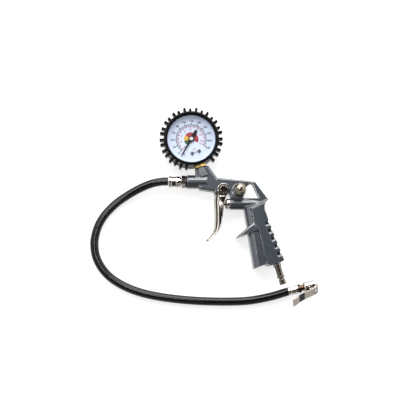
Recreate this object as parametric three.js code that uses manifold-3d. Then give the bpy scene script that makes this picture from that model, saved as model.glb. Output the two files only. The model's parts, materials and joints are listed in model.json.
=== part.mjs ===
// Pistol tyre inflator: a die-cast gun with a trigger valve, a bleed button, a booted dial gauge,
// a rubber hose and a clip-on air chuck. Millimetres, +Z up.
// The tool lies on its side: the back of the gauge boot and one flank of the grip rest on Z = 0.
// The gun is drawn in its own frame: origin on the trigger pivot in the gun's mid-plane,
// X away from the hose end, Y from the grip up to the gauge.

import * as THREE from 'three';
import { mergeVertices } from 'three/addons/utils/BufferGeometryUtils.js';
import Module from 'manifold-3d';

const wasm = await Module();
wasm.setup();

// ---------------------------------------------------------------- driving dimensions

const PIVOT_AT = [0.5, 7.9, 13]; // trigger pivot from the part's origin
const GAP = 0.3; // left between touching pieces
const DEG = Math.PI / 180;

// gun casting
const BODY_HALF = 7; // half thickness of the upper body
const STRUT_HALF = 4.8;
const PANEL_HALF = 13; // half thickness of the grip at its flat flanks
const RECESS_HALF = 11; // beside the raised panel
const NOSE_DEPTH = 5.6; // rounded front of the grip
const HOOK_HALF = 12.4;
const CORE_HALF = 6.8; // web left between the grip notches
const BARREL_Y = 9.9; // axis of the outlet barrel
const BARREL_LEFT = -43.8;
const BARREL_RADIUS = 8.2;
const GALLERY_RADIUS = 3;
const VALVE_Y = -16.9; // axis of the trigger valve
const VALVE_LEFT = 8.3;
const VALVE_RADIUS = 6.7;
const CHAMBER_RADIUS = 4.6;
const CHAMBER_END = 36;
const BLEED_AT = [18.8, -1];
const BLEED_BOSS = 7.9;
const BLEED_FACE = 7.8; // height of the bleed boss above the mid-plane
const GRIP_EDGE_START = [53.1, -36.7]; // back edge of the grip, which carries the notches
const GRIP_EDGE_END = [71.6, -85];
const NOTCHES = 5;
const NOTCH_PITCH = 9.8;
const NOTCH_WIDTH = 4.2; // at the flank
const NOTCH_SLOPE = 1.9; // how much of that the lower side slopes away
const NOTCH_DEPTH = 5.6;
const EDGE_BEVEL = 1.8;
const BEVEL_SLOPE = 0.65; // drop of a bevel over its width
const PLUG_AT = [64.6, -88.8];
const PLUG_LEAN = 17 * DEG;

// trigger
const EAR_RADIUS = 7.4;
const EAR_INNER = 7.3;
const TRIGGER_WALL = 1.5;
const PIVOT_RADIUS = 2;

// gauge, drawn round its own axis: origin where the stem axis meets it, Y up along the stem
const GAUGE_AT = [-39.3, 61.4];
const GAUGE_LEAN = 19 * DEG;
const BOOT_RADIUS = 33.3;
const BOOT_BACK = -13;
const BOOT_FRONT = 15.5;
const CASE_RADIUS = 31;
const OPENING_RADIUS = 30;
const LUGS = 32;
const LUG_WIDTH = 2.7;
const LUG_TIP = 37.8;
const NEEDLE_REST = 131 * DEG; // needle at its stop, anticlockwise from the stem direction
const SECTOR_AT = [0, -16.2];
const PINION_TEETH = 8;
const SECTOR_TEETH = 64; // of a full wheel
const GEAR_MODULE = 0.45;
const TUBE_RADIUS = 22;
const TIP_ANGLE = -35 * DEG; // free end of the Bourdon tube
const SECTOR_TAIL = 7; // from the sector's pivot to the link's pin
const TAIL_ANGLE = -1.22;
const LINK_LOW = 3; // underside of the link

// hose, in the part's own frame
const HOSE_RADIUS = 5;
const HOSE_SIDES = 10;
const HOSE_STEPS = 42;
const HOSE_ROUTE = [
  [-66.3, 17.8, 13], [-72.7, 17.8, 12.9], [-84.7, 15.7, 11.8], [-97.3, 11.1, 9.4], [-108.1, 5.6, 7.4],
  [-117.9, -0.4, 6], [-127.3, -7.2, 5.3], [-136, -15.5, 5], [-143.9, -25.2, 5], [-150.1, -37.1, 5],
  [-153.5, -50.7, 5], [-153.9, -58.5, 5], [-151.6, -72.5, 5], [-145.1, -85.5, 5], [-135.5, -96.4, 5],
  [-123.7, -104.7, 5], [-110.8, -111, 5], [-97.2, -115.7, 5], [-82.5, -119.2, 5], [-66.4, -121.8, 5],
  [-47.1, -124, 5], [-22.8, -125.6, 5], [11.3, -126, 5], [33.6, -124.7, 5.3], [58.1, -120.1, 6],
  [78.9, -114.1, 6.4],
];

// chuck, drawn along its own X axis from the end of the hose, Y towards the lever
const CHUCK_AT = [79.2, -114, 6.4];
const CHUCK_LEAN = 14.1 * DEG;
const CHUCK_ROLL = 142 * DEG;
const CHUCK_RADIUS = 6;
const CHUCK_MOUTH = 34;
const LEVER_PIVOT = [28, 8.4];

// ---------------------------------------------------------------- materials

function material(color, roughness, metalness) {
  return new THREE.MeshStandardMaterial({ color, roughness, metalness });
}

const paint = material(0x4b5058, 0.45, 0.2);
const chrome = material(0xc9c6c2, 0.15, 1);
const nickel = material(0x9d9791, 0.25, 1);
const steel = material(0x8d8f92, 0.35, 1);
const brass = material(0xc9a94f, 0.3, 1);
const bronze = material(0x9a7350, 0.35, 1);
const rubber = material(0x17171a, 0.75, 0);
const blackMetal = material(0x1d1d20, 0.4, 0.4);
const dialWhite = material(0xe4e8f2, 0.5, 0);
const needleBlack = material(0x101012, 0.45, 0);
const clear = material(0xdfe8ee, 0.05, 0);
const cream = material(0xe9e0cf, 0.4, 0);

// ---------------------------------------------------------------- solids

function solidFromArrays(vertProperties, triVerts) {
  return new wasm.Manifold(new wasm.Mesh({ numProp: 3, vertProperties, triVerts }));
}

// A closed geometry as a manifold solid, with its faces pointing out.
function solid(geometry) {
  const bare = new THREE.BufferGeometry();
  bare.setAttribute('position', geometry.getAttribute('position').clone());
  if (geometry.index) bare.setIndex(geometry.index.clone());
  const merged = mergeVertices(bare, 1e-4);
  const points = merged.getAttribute('position').array;
  const triangles = new Uint32Array(merged.index.array);
  const made = solidFromArrays(points, triangles);
  if (made.volume() > 0) return made;
  for (let i = 0; i < triangles.length; i += 3) {
    [triangles[i + 1], triangles[i + 2]] = [triangles[i + 2], triangles[i + 1]];
  }
  return solidFromArrays(points, triangles);
}

function join(first, ...others) {
  return others.reduce((whole, next) => whole.add(next), first);
}

function cut(base, ...tools) {
  return tools.reduce((rest, tool) => rest.subtract(tool), base);
}

function mesh(name, made, look) {
  const { numProp, vertProperties, triVerts } = made.getMesh();
  if (numProp !== 3) throw new Error(name + ' holds more than positions');
  const geometry = new THREE.BufferGeometry();
  geometry.setAttribute('position', new THREE.BufferAttribute(vertProperties, 3));
  geometry.setIndex(new THREE.BufferAttribute(triVerts, 1));
  const result = new THREE.Mesh(geometry, look);
  result.name = name;
  return result;
}

function outline(points) {
  return new THREE.Shape(points.map(([x, y]) => new THREE.Vector2(x, y)));
}

// A flat outline extruded from one height to another; a bevel keeps the outline as its widest section.
function plate(points, low, high, bevel = 0) {
  const drop = bevel * BEVEL_SLOPE;
  const geometry = new THREE.ExtrudeGeometry(outline(points), {
    depth: high - low - 2 * drop,
    bevelEnabled: bevel > 0,
    bevelThickness: drop,
    bevelSize: bevel,
    bevelOffset: -bevel,
    bevelSegments: 1,
    curveSegments: 1,
  });
  return solid(geometry.translate(0, 0, low + drop));
}

// A profile of [radius, distance] turned round the line from a point along a direction.
function turned(profile, start, direction, sides = 32, firstAngle = 0) {
  const points = profile.map(([r, s]) => new THREE.Vector2(r, s));
  const geometry = new THREE.LatheGeometry(points, sides, firstAngle);
  const turn = new THREE.Quaternion().setFromUnitVectors(
    new THREE.Vector3(0, 1, 0),
    new THREE.Vector3(...direction).normalize(),
  );
  geometry.applyQuaternion(turn);
  return solid(geometry.translate(...start));
}

function rod(radius, start, direction, length, sides = 32) {
  return turned([[0, 0], [radius, 0], [radius, length], [0, length]], start, direction, sides);
}

function tubeRing(inner, outer, start, direction, length, sides = 32) {
  const profile = [[inner, 0], [outer, 0], [outer, length], [inner, length], [inner, 0]];
  return turned(profile, start, direction, sides);
}

function box(size, at, turn = 0) {
  const geometry = new THREE.BoxGeometry(...size).rotateZ(turn);
  return solid(geometry.translate(...at));
}

// A section swept along a curve through the given points.
function swept(points, section, steps) {
  const path = new THREE.CatmullRomCurve3(points.map((p) => new THREE.Vector3(...p)), false, 'centripetal');
  return solid(new THREE.ExtrudeGeometry(section, { steps, extrudePath: path, bevelEnabled: false }));
}

function circle(radius, sides) {
  const points = Array.from({ length: sides }, (_, i) => {
    const angle = (i / sides) * 2 * Math.PI;
    return [radius * Math.cos(angle), radius * Math.sin(angle)];
  });
  return outline(points);
}

// A coil spring round the line from a point along a direction.
function coil(radius, wire, length, turns, start, direction) {
  const steps = turns * 8;
  const along = new THREE.Vector3(...direction).normalize();
  const turn = new THREE.Quaternion().setFromUnitVectors(new THREE.Vector3(0, 0, 1), along);
  const points = Array.from({ length: steps + 1 }, (_, i) => {
    const angle = (i / 8) * 2 * Math.PI;
    const at = new THREE.Vector3(radius * Math.cos(angle), radius * Math.sin(angle), (i / steps) * length);
    return at.applyQuaternion(turn).add(new THREE.Vector3(...start)).toArray();
  });
  return swept(points, circle(wire, 5), steps);
}

// Closed rings of equal length, joined one to the next and capped at both ends.
function skinned(sections) {
  const flat = (ring) => ring.map(([x, , z]) => new THREE.Vector2(x, z));
  const clockwise = THREE.ShapeUtils.isClockWise(flat(sections[0]));
  const rings = clockwise ? sections.map((ring) => [...ring].reverse()) : sections;
  const count = rings[0].length;
  const triangles = [];
  for (let ring = 0; ring + 1 < rings.length; ring++) {
    for (let i = 0; i < count; i++) {
      const next = (i + 1) % count;
      const a = ring * count + i;
      const b = ring * count + next;
      triangles.push(a, b, b + count, a, b + count, a + count);
    }
  }
  const last = (rings.length - 1) * count;
  const cap = THREE.ShapeUtils.triangulateShape(flat(rings[0]), []);
  for (const [a, b, c] of cap) {
    triangles.push(a, c, b, last + a, last + b, last + c);
  }
  const geometry = new THREE.BufferGeometry();
  geometry.setAttribute('position', new THREE.Float32BufferAttribute(rings.flat(2), 3));
  geometry.setIndex(triangles);
  return solid(geometry);
}

function hexagon(acrossFlats) {
  const corner = acrossFlats / Math.sqrt(3);
  return Array.from({ length: 6 }, (_, i) => {
    const angle = (i * 60 + 30) * DEG;
    return [corner * Math.cos(angle), corner * Math.sin(angle)];
  });
}

// A hexagonal block along X, its flats facing up and down.
function hexAlongX(acrossFlats, left, right, y) {
  const geometry = new THREE.ExtrudeGeometry(outline(hexagon(acrossFlats)), {
    depth: right - left,
    bevelEnabled: false,
  });
  return solid(geometry.rotateY(Math.PI / 2).translate(left, y, 0));
}

function polar(radius, angle, [x, y] = [0, 0]) {
  return [x + radius * Math.cos(angle), y + radius * Math.sin(angle)];
}

// ---------------------------------------------------------------- gun casting

const STEM_DOWN = [Math.sin(GAUGE_LEAN), -Math.cos(GAUGE_LEAN), 0];

function fromGauge(distance) {
  return [GAUGE_AT[0] + STEM_DOWN[0] * distance, GAUGE_AT[1] + STEM_DOWN[1] * distance, 0];
}

// Edge of the web that runs from the gauge boss down to the body.
const RIB_EDGE = [[-18.2, 29.7], [-7, 14.3]];

function upperBody() {
  const side = [
    [-34.3, 24.4], [-34.4, 14], [-33.2, 7], [-28.6, 0.3], [-11.7, -2.1], [-10.6, -5.6], [-8, -5.6],
    [-6.5, -4.6], [7.6, -4.6], [8.2, -12], [23.4, -12], [26, -2], [28.2, 4.4],
    [31.4, 7], [31.4, 11.1], ...RIB_EDGE.toReversed(),
  ];
  return cut(plate(side, -BODY_HALF, BODY_HALF, 1.6), ...bevels(...RIB_EDGE, BODY_HALF, 3.6, 3.6));
}

function strut() {
  const outer = [
    [24, 11.6], [38.1, 10.6], [40, 9], [54.6, -10.8], [52, -14.5], [20, -14.5], [20, 6],
  ];
  const hole = [[22.8, -10], [43.6, -9.6], [35.3, 7.6], [33.4, 8.2], [24, 3]];
  const frame = plate(outer, -STRUT_HALF, STRUT_HALF, 1.3);
  return cut(frame, plate(hole, -STRUT_HALF - 1, STRUT_HALF + 1));
}

function gaugeBoss() {
  return turned([[0, 0], [7.9, 0], [9.2, 12], [0, 12]], fromGauge(36.2), STEM_DOWN, 8, Math.PI / 8);
}

const PANEL_TOP = [[31.4, -21.2], [52.6, -11.4]];

// The raised rear panel of the grip.
function gripPanel() {
  const side = [
    ...PANEL_TOP, [54.6, -11.6], [50.4, -15.8], [48.8, -19.8], [49.1, -25.6], [51.2, -30.2],
    GRIP_EDGE_START, GRIP_EDGE_END, [70.4, -86.4], [66.4, -88], [55.8, -91.7],
    [51.2, -90], [41.2, -49.6], [36, -40], [33, -25.4],
  ];
  return cut(plate(side, -PANEL_HALF, PANEL_HALF), ...bevels(...PANEL_TOP, PANEL_HALF, 3.4, 3.4));
}

const NOSE_TOP = [24.4, -21];
const NOSE_BOTTOM = [35.6, -95.6];

// The lower front of the grip: a straight bar with a rounded nose, trimmed to its side view.
function gripFront() {
  const half = RECESS_HALF;
  const face = [
    [0, 3.4], [0.5, 6.4], [1.7, 8.6], [3.4, half - 0.9], [NOSE_DEPTH, half + 0.4],
    [NOSE_DEPTH + 0.8, half + 0.4], [NOSE_DEPTH + 1.6, half], [40, half],
  ];
  const section = [...face, ...face.toReversed().map(([x, z]) => [x, -z])];
  const along = new THREE.Vector3(NOSE_BOTTOM[0] - NOSE_TOP[0], NOSE_BOTTOM[1] - NOSE_TOP[1], 0).normalize();
  const inward = new THREE.Vector3(-along.y, along.x, 0);
  const bar = new THREE.ExtrudeGeometry(outline(section), { depth: 90, bevelEnabled: false });
  const basis = new THREE.Matrix4().makeBasis(inward, new THREE.Vector3(0, 0, 1), along);
  bar.translate(0, 0, -5).applyMatrix4(basis);
  const side = [NOSE_TOP, [42, -17], [46, -42], [54.4, -91], [50.5, -89.9], NOSE_BOTTOM, [24, -60]];
  return solid(bar.translate(...NOSE_TOP, 0)).intersect(plate(side, -RECESS_HALF - 1, RECESS_HALF + 1));
}

const HOOK_TOP = [[37.4, -40.1], [29.4, -45.4], [15.4, -57.5]];

function fingerHook() {
  const side = [...HOOK_TOP, [16.4, -57.8], [31, -52.8], [41, -49.4]];
  const [root, middle, tip] = HOOK_TOP;
  const block = plate(side, -HOOK_HALF, HOOK_HALF);
  return cut(block, ...bevels(middle, root, HOOK_HALF), ...bevels(tip, middle, HOOK_HALF));
}

// One notch of the grip, cut in from both flanks and leaving the web between them. Its lower side slopes.
function notch(index) {
  const start = new THREE.Vector2(...GRIP_EDGE_START);
  const down = new THREE.Vector2(...GRIP_EDGE_END).sub(start).normalize();
  const at = start.clone().addScaledVector(down, 3.4 + index * NOTCH_PITCH);
  const half = NOTCH_WIDTH / 2;
  const height = PANEL_HALF - CORE_HALF;
  const section = [
    [-half, 0], [half - NOTCH_SLOPE, 0], [half, height], [half, height + 1], [-half, height + 1],
  ];
  const inward = new THREE.Vector3(down.y, -down.x, 0);
  return [-1, 1].map((side) => {
    const basis = new THREE.Matrix4().makeBasis(
      new THREE.Vector3(down.x, down.y, 0),
      new THREE.Vector3(0, 0, side),
      inward,
    );
    const geometry = new THREE.ExtrudeGeometry(outline(section), {
      depth: NOTCH_DEPTH + 2,
      bevelEnabled: false,
    });
    geometry.translate(0, 0, -2).applyMatrix4(basis);
    return solid(geometry.translate(at.x, at.y, side * CORE_HALF));
  });
}

// Bars that slope away a straight edge of a plate on both faces. The plate lies to the right of the edge.
function bevels(from, to, height, width = EDGE_BEVEL, drop = width * BEVEL_SLOPE) {
  const along = new THREE.Vector3(to[0] - from[0], to[1] - from[1], 0);
  const depth = along.length() + 2;
  along.normalize();
  const inward = new THREE.Vector3(along.y, -along.x, 0);
  const section = [[-1, -drop * (1 + 1 / width)], [width * (1 + 1 / drop), 1], [-1, 1]];
  return [-1, 1].map((side) => {
    const basis = new THREE.Matrix4().makeBasis(inward, new THREE.Vector3(0, 0, side), along);
    const bar = new THREE.ExtrudeGeometry(outline(section), { depth, bevelEnabled: false });
    bar.translate(0, 0, -1).applyMatrix4(basis);
    return solid(bar.translate(from[0], from[1], side * height));
  });
}

function gunBody() {
  const along = [-Math.sin(PLUG_LEAN), Math.cos(PLUG_LEAN), 0];
  const shell = join(
    upperBody(),
    strut(),
    gaugeBoss(),
    rod(BARREL_RADIUS, [BARREL_LEFT, BARREL_Y, 0], [1, 0, 0], 24, 36),
    rod(BLEED_BOSS, [...BLEED_AT, -BODY_HALF], [0, 0, 1], BODY_HALF + BLEED_FACE, 36),
    turned([[0, 0], [VALVE_RADIUS, 0], [VALVE_RADIUS, 20], [5.6, 38], [0, 38]],
      [VALVE_LEFT, VALVE_Y, 0], [1, 0, 0], 36),
    gripPanel(),
    gripFront(),
    fingerHook(),
  );
  const passages = [
    rod(6.2, [BARREL_LEFT - 1, BARREL_Y, 0], [1, 0, 0], 12, 24),
    rod(GALLERY_RADIUS, [BARREL_LEFT, BARREL_Y, 0], [1, 0, 0], 64, 16),
    rod(5.2, fromGauge(35.2), STEM_DOWN, 10, 24),
    rod(2, fromGauge(40), STEM_DOWN, 18, 12),
    rod(CHAMBER_RADIUS, [VALVE_LEFT - 1, VALVE_Y, 0], [1, 0, 0], CHAMBER_END - VALVE_LEFT + 1, 24),
    rod(1.8, [BLEED_AT[0], VALVE_Y, 0], [0, 1, 0], BARREL_Y - VALVE_Y, 12),
    rod(3.6, [...BLEED_AT, -2.8], [0, 0, 1], BLEED_FACE + 4, 20),
    rod(PIVOT_RADIUS + 0.1, [0, 0, -20], [0, 0, 1], 40, 20),
    rod(5.4, [PLUG_AT[0] - along[0] * 4, PLUG_AT[1] - along[1] * 4, 0], along, 15, 24),
    rod(3, [33, VALVE_Y - 1, 0], [PLUG_AT[0] - 34.6, PLUG_AT[1] - VALVE_Y + 9, 0], 74, 12),
  ];
  const notches = Array.from({ length: NOTCHES }, (_, i) => notch(i)).flat();
  return mesh('gun_body', cut(shell, ...passages, ...notches), paint);
}

// ---------------------------------------------------------------- trigger

// Height, nose, back and half width of the trigger's channel, from the ears down to the lip.
const TRIGGER_STATIONS = [
  [-7.2, -10.5, 3.3, 8.8], [-15, -11.2, 0.9, 8.8], [-28, -10.7, -0.7, 8.6], [-40, -10.6, -2.7, 8.2],
  [-47.5, -11.5, -4.7, 7.9], [-53, -13.6, -8.2, 7.6], [-57, -16.4, -12.2, 7.2], [-60, -19.4, -15.4, 6.8],
  [-62.2, -22.4, -18.6, 6.2],
];

// One U section of the channel: a half-round nose towards the fingers and two straight sides.
function channelRing([y, nose, back, half], inset, reach = 0) {
  const width = half - inset;
  const bulge = Math.min(5.5, 0.75 * (back - nose));
  const round = Array.from({ length: 9 }, (_, i) => {
    const angle = ((i - 4) / 8) * Math.PI;
    return [nose + bulge - (bulge - inset) * Math.cos(angle), y, width * Math.sin(angle)];
  });
  return [...round, [back + reach, y, width], [back + reach, y, -width]];
}

function trigger() {
  const outer = TRIGGER_STATIONS.map((station) => channelRing(station, 0));
  const inner = TRIGGER_STATIONS.slice(0, 7).map(([y, ...rest], i) => {
    const height = i === 0 ? y + 4 : y;
    return channelRing([height, ...rest], TRIGGER_WALL, 4);
  });
  const ear = (side) => {
    const low = side > 0 ? EAR_INNER : -EAR_INNER - TRIGGER_WALL;
    const disc = rod(EAR_RADIUS, [0, 0, low], [0, 0, 1], TRIGGER_WALL, 36);
    const neck = [[-7.2, 0], [-7, -7.6], [3.2, -7.6], [7.2, 0]];
    return join(disc, plate(neck, low, low + TRIGGER_WALL));
  };
  const channel = cut(skinned(outer), skinned(inner));
  const whole = join(channel, ear(1), ear(-1));
  return mesh('trigger', cut(whole, rod(PIVOT_RADIUS + 0.15, [0, 0, -12], [0, 0, 1], 24, 20)), nickel);
}

function pivotRivet() {
  const head = EAR_INNER + TRIGGER_WALL + 0.1;
  const profile = [
    [0, -head - 0.2], [1.6, -head - 0.2], [2.6, -head - 1.2], [3.9, -head - 0.9], [3.9, -head],
    [PIVOT_RADIUS, -head], [PIVOT_RADIUS, head], [3.9, head], [3.9, head + 0.9], [2.6, head + 1.2],
    [1.6, head + 0.2], [0, head + 0.2],
  ];
  return mesh('trigger_pivot_rivet', turned(profile, [0, 0, 0], [0, 0, 1], 14), nickel);
}

// ---------------------------------------------------------------- trigger valve

function valvePieces() {
  const along = [1, 0, 0];
  const at = (x) => [x, VALVE_Y, 0];
  const nut = cut(
    join(
      turned([[0, 0], [4.6, 0], [6.3, 1.4], [6.3, 5.4], [0, 5.4]], at(2.6), along, 24),
      rod(4.4, at(8), along, 5.4, 24),
    ),
    rod(2.3, at(0), along, 20, 20),
  );
  const ringSection = [[2.4, 0.9], [3.3, 0], [4.2, 0.9], [3.3, 1.8], [2.4, 0.9]];
  const stem = turned(
    [[0, 0], [1.3, 0], [2, 0.8], [2, 25.6], [1.2, 25.6], [1.2, 34.2], [3.4, 34.2], [3.4, 36.6], [0, 36.6]],
    at(-9.4), along, 20,
  );
  return {
    fixed: [
      mesh('valve_gland_nut', nut, nickel),
      mesh('gland_o_ring', turned(ringSection, at(14), along, 20), rubber),
      mesh('valve_seat', tubeRing(2.1, 4.3, at(21), along, 2.6, 20), brass),
      mesh('valve_return_spring', coil(3, 0.4, 6.4, 4, at(28.4), along), steel),
    ],
    moving: [
      mesh('valve_stem', stem, nickel),
      mesh('valve_poppet_seal', tubeRing(1.5, 3.4, at(23.8), along, 0.7, 20), rubber),
    ],
  };
}

// ---------------------------------------------------------------- bleed valve

function bleedPieces() {
  const up = [0, 0, 1];
  const at = (z) => [...BLEED_AT, z];
  const collar = cut(
    join(rod(3.3, at(2.6), up, 8, 20), rod(6.2, at(BLEED_FACE + GAP), up, 15.2 - BLEED_FACE - GAP, 24)),
    rod(1.8, at(0), up, 20, 16),
    rod(4.5, at(11.4), up, 8, 20),
  );
  const dome = turned(
    [[0, 0], [6.9, 0], [6.9, 0.8], [6.5, 1], [6.3, 2.6], [5.2, 4.7], [3.2, 6], [0, 6.5]],
    at(17.4), up, 28,
  );
  const pin = rod(1.4, at(0.4), up, 17.4, 16);
  return {
    fixed: [
      mesh('bleed_collar', collar, blackMetal),
      mesh('bleed_spring', coil(3.3, 0.35, 5.1, 4, at(11.9), up), steel),
    ],
    moving: [
      mesh('bleed_button', join(dome, pin), chrome),
      mesh('bleed_seal', tubeRing(1.6, 2.9, at(0.9), up, 1.3, 20), rubber),
    ],
  };
}

// ---------------------------------------------------------------- outlet, hose end and plug

function outletPieces() {
  const along = [1, 0, 0];
  const at = (x) => [x, BARREL_Y, 0];
  const washerLeft = BARREL_LEFT - GAP - 1.9;
  const nipple = cut(
    join(
      hexAlongX(13, -50.6, washerLeft - GAP, BARREL_Y),
      rod(5.8, at(washerLeft - 1), along, 11, 24),
      rod(2.9, at(-62), along, 14, 20),
    ),
    rod(1.8, at(-64), along, 34, 12),
  );
  const ferruleProfile = [
    [3.2, 0], [6.3, 0], [6.6, 0.5], [6.6, 3.2], [6.1, 3.9], [6.1, 8.9], [6.6, 9.6], [6.6, 13.4],
    [5.4, 14.2], [5.4, 15.4], [3.2, 15.4], [3.2, 0],
  ];
  return [
    mesh('outlet_washer', tubeRing(6.1, 7.3, at(washerLeft), along, 1.9, 28), rubber),
    mesh('outlet_nipple', nipple, nickel),
    mesh('outlet_ferrule', turned(ferruleProfile, at(-66.4), along, 12), chrome),
  ];
}

function inletPlug() {
  const away = [Math.sin(PLUG_LEAN), -Math.cos(PLUG_LEAN), 0];
  const profile = [
    [2.2, -8], [4.8, -8], [4.8, 3.4], [4.4, 3.8], [3.9, 4.2], [3.9, 15.4], [4.7, 15.8], [4.7, 17.2],
    [3.1, 17.8], [3.1, 19.6], [3.9, 20], [3.9, 25], [3.3, 25.8], [2.2, 25.8], [2.2, -8],
  ];
  return mesh('quick_connect_plug', turned(profile, [...PLUG_AT, 0], away, 16), nickel);
}

// ---------------------------------------------------------------- gauge

function gaugeBoot() {
  const wall = turned(
    [
      [12, BOOT_BACK], [31.6, BOOT_BACK], [BOOT_RADIUS, BOOT_BACK + 1.6], [BOOT_RADIUS, BOOT_FRONT - 1.2],
      [32.2, BOOT_FRONT], [OPENING_RADIUS + 0.4, BOOT_FRONT], [OPENING_RADIUS, BOOT_FRONT - 0.8],
      [OPENING_RADIUS, 13.7], [31.3, 13.7], [31.3, BOOT_BACK + 1.3], [12, BOOT_BACK + 1.3], [12, BOOT_BACK],
    ],
    [0, 0, 0], [0, 0, 1], 48,
  );
  const lugs = [];
  for (let i = 0; i < LUGS; i++) {
    const angle = (i / LUGS) * 2 * Math.PI + Math.PI / LUGS;
    const offStem = Math.abs(Math.atan2(Math.cos(angle), -Math.sin(angle)));
    if (offStem < 18 * DEG) continue;
    const low = i % 2 ? 2.5 : -2.5;
    const reach = LUG_TIP - BOOT_RADIUS + 0.8;
    const lug = new THREE.BoxGeometry(reach, LUG_WIDTH, 10.5);
    lug.translate(LUG_TIP - reach / 2, 0, low + 5.25).rotateZ(angle);
    lugs.push(solid(lug));
  }
  const stemHole = rod(8.4, [0, -20, 0], [0, -1, 0], 20, 24);
  return mesh('gauge_boot', cut(join(wall, ...lugs), stemHole), rubber);
}

function gaugeCase() {
  const profile = [
    [0, -11.5], [CASE_RADIUS, -11.5], [CASE_RADIUS, 12.7], [CASE_RADIUS - 0.9, 12.7],
    [CASE_RADIUS - 0.9, -10.6], [0, -10.6],
  ];
  const cup = turned(profile, [0, 0, 0], [0, 0, 1], 48);
  return mesh('gauge_case', cut(cup, rod(5.6, [0, -25, 0], [0, -1, 0], 10, 20)), blackMetal);
}

function gaugeSocket() {
  const away = [0, -1, 0];
  const block = box([12, 13.5, 6.8], [0, -20.4, -3.6]);
  const stem = rod(5.2, [0, -26, 0], away, 7, 24);
  const hex = solid(
    new THREE.ExtrudeGeometry(outline(hexagon(14)), { depth: 3, bevelEnabled: false })
      .rotateX(Math.PI / 2)
      .translate(0, -32.6, 0),
  );
  const thread = rod(4.8, [0, -35, 0], away, 9, 24);
  const clearTop = box([12, 13, 6], [0, -20, 3]);
  const whole = cut(join(block, cut(stem, clearTop), hex, thread), rod(1.4, [0, -18, -1], away, 30, 12));
  const tubePort = rod(1.2, [0, -20.4, -3.6], [-1, 0, 0], 10, 12);
  return mesh('gauge_socket', cut(whole, tubePort, rod(1.2, [0, -20.4, -4], [0, 0, 1], 3, 12)), brass);
}

function stemSeal() {
  return mesh('stem_seal_washer', tubeRing(5.1, 7.2, [0, -35.7, 0], [0, -1, 0], 0.4, 24), rubber);
}

// The Bourdon tube: a flattened tube bent round from the socket to its free tip, open at the root.
function bourdonTube() {
  const arc = (from, to) => Array.from({ length: 13 }, (_, i) => {
    const angle = (from + ((to - from) * i) / 12) * DEG;
    return [...polar(TUBE_RADIUS, angle), -4.5];
  });
  const section = (wide, thick) => outline([
    [-wide, 0], [-wide * 0.6, -thick], [wide * 0.6, -thick],
    [wide, 0], [wide * 0.6, thick], [-wide * 0.6, thick],
  ]);
  const outer = swept(arc(248, -30), section(3.6, 1.2), 20);
  const inner = swept(arc(252, -26), section(3, 0.6), 20);
  return mesh('bourdon_tube', cut(outer, inner), brass);
}

// The tip's post ends just under the link's eye, because the tube doesn't bend here as the real one does.
function tubeTip() {
  const [x, y] = polar(TUBE_RADIUS, TIP_ANGLE);
  const block = box([3, 3, 5], [x, y, -4.5], TIP_ANGLE);
  const post = rod(0.8, [x, y, -2.4], [0, 0, 1], LINK_LOW - GAP + 2.4, 12);
  return mesh('tube_tip', join(block, post), brass);
}

const MOVEMENT_OUTLINE = [[-6.5, 7.5], [6.5, 7.5], [6.5, -19], [3, -21.8], [-6.5, -22.4]];
const PILLARS = [[-4.8, 5.4], [4.8, 5.4], [-4.8, -20.4]];

function movementPlate(name, low, high, looks) {
  const centres = [[0, 0, 1], [...SECTOR_AT, 1.1]];
  const holes = centres.map(([x, y, r]) => rod(r, [x, y, low - 1], [0, 0, 1], 3, 16));
  return mesh(name, cut(plate(MOVEMENT_OUTLINE, low, high), ...holes), looks);
}

function movementPillars() {
  return PILLARS.map(([x, y], i) => {
    const pillar = rod(0.9, [x, y, 1.5], [0, 0, 1], 2.1, 12);
    return mesh('movement_pillar_' + (i + 1), pillar, brass);
  });
}

// A spur gear outline: straight-sided teeth with wide backlash, from one tooth number to another.
function gearOutline(teeth, first, last, start) {
  const pitch = (GEAR_MODULE * teeth) / 2;
  const step = (2 * Math.PI) / teeth;
  const tip = pitch + 0.36;
  const root = pitch - 0.55;
  const points = [];
  for (let i = first; i <= last; i++) {
    const middle = start + i * step;
    points.push(polar(root, middle - step * 0.3), polar(tip, middle - step * 0.11));
    points.push(polar(tip, middle + step * 0.11), polar(root, middle + step * 0.3));
  }
  return points;
}

function pointerShaft() {
  const start = -Math.PI / 2 + Math.PI / PINION_TEETH;
  const pinion = plate(gearOutline(PINION_TEETH, 0, PINION_TEETH - 1, start), 1.7, 3);
  return mesh('pointer_shaft', join(rod(0.7, [0, 0, 0.2], [0, 0, 1], 8.4, 16), pinion), steel);
}

function sectorGear() {
  const mate = Math.PI / 2;
  const step = (2 * Math.PI) / SECTOR_TEETH;
  const teeth = gearOutline(SECTOR_TEETH, -7, 1, mate)
    .map(([x, y]) => [x + SECTOR_AT[0], y + SECTOR_AT[1]]);
  const low = mate - 7.5 * step;
  const high = mate + 1.5 * step;
  const from = (radius, angle) => polar(radius, angle, SECTOR_AT);
  const arm = [
    ...teeth,
    from(12.4, high), from(12.2, high - 0.2), from(2, Math.PI), from(2, -2.2),
    from(SECTOR_TAIL + 1.2, TAIL_ANGLE - 0.18), from(SECTOR_TAIL + 1.2, TAIL_ANGLE + 0.18),
    from(2, -0.5), from(2, 0.2), from(12.2, low + 0.1),
  ];
  const flat = plate(arm.reverse(), 1.9, 2.7);
  const pin = rod(0.5, [...from(SECTOR_TAIL, TAIL_ANGLE), 2.5], [0, 0, 1], LINK_LOW + 0.6 - 2.5, 10);
  return mesh('sector_gear', join(flat, rod(0.85, [...SECTOR_AT, 0.2], [0, 0, 1], 4.6, 16), pin), brass);
}

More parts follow.
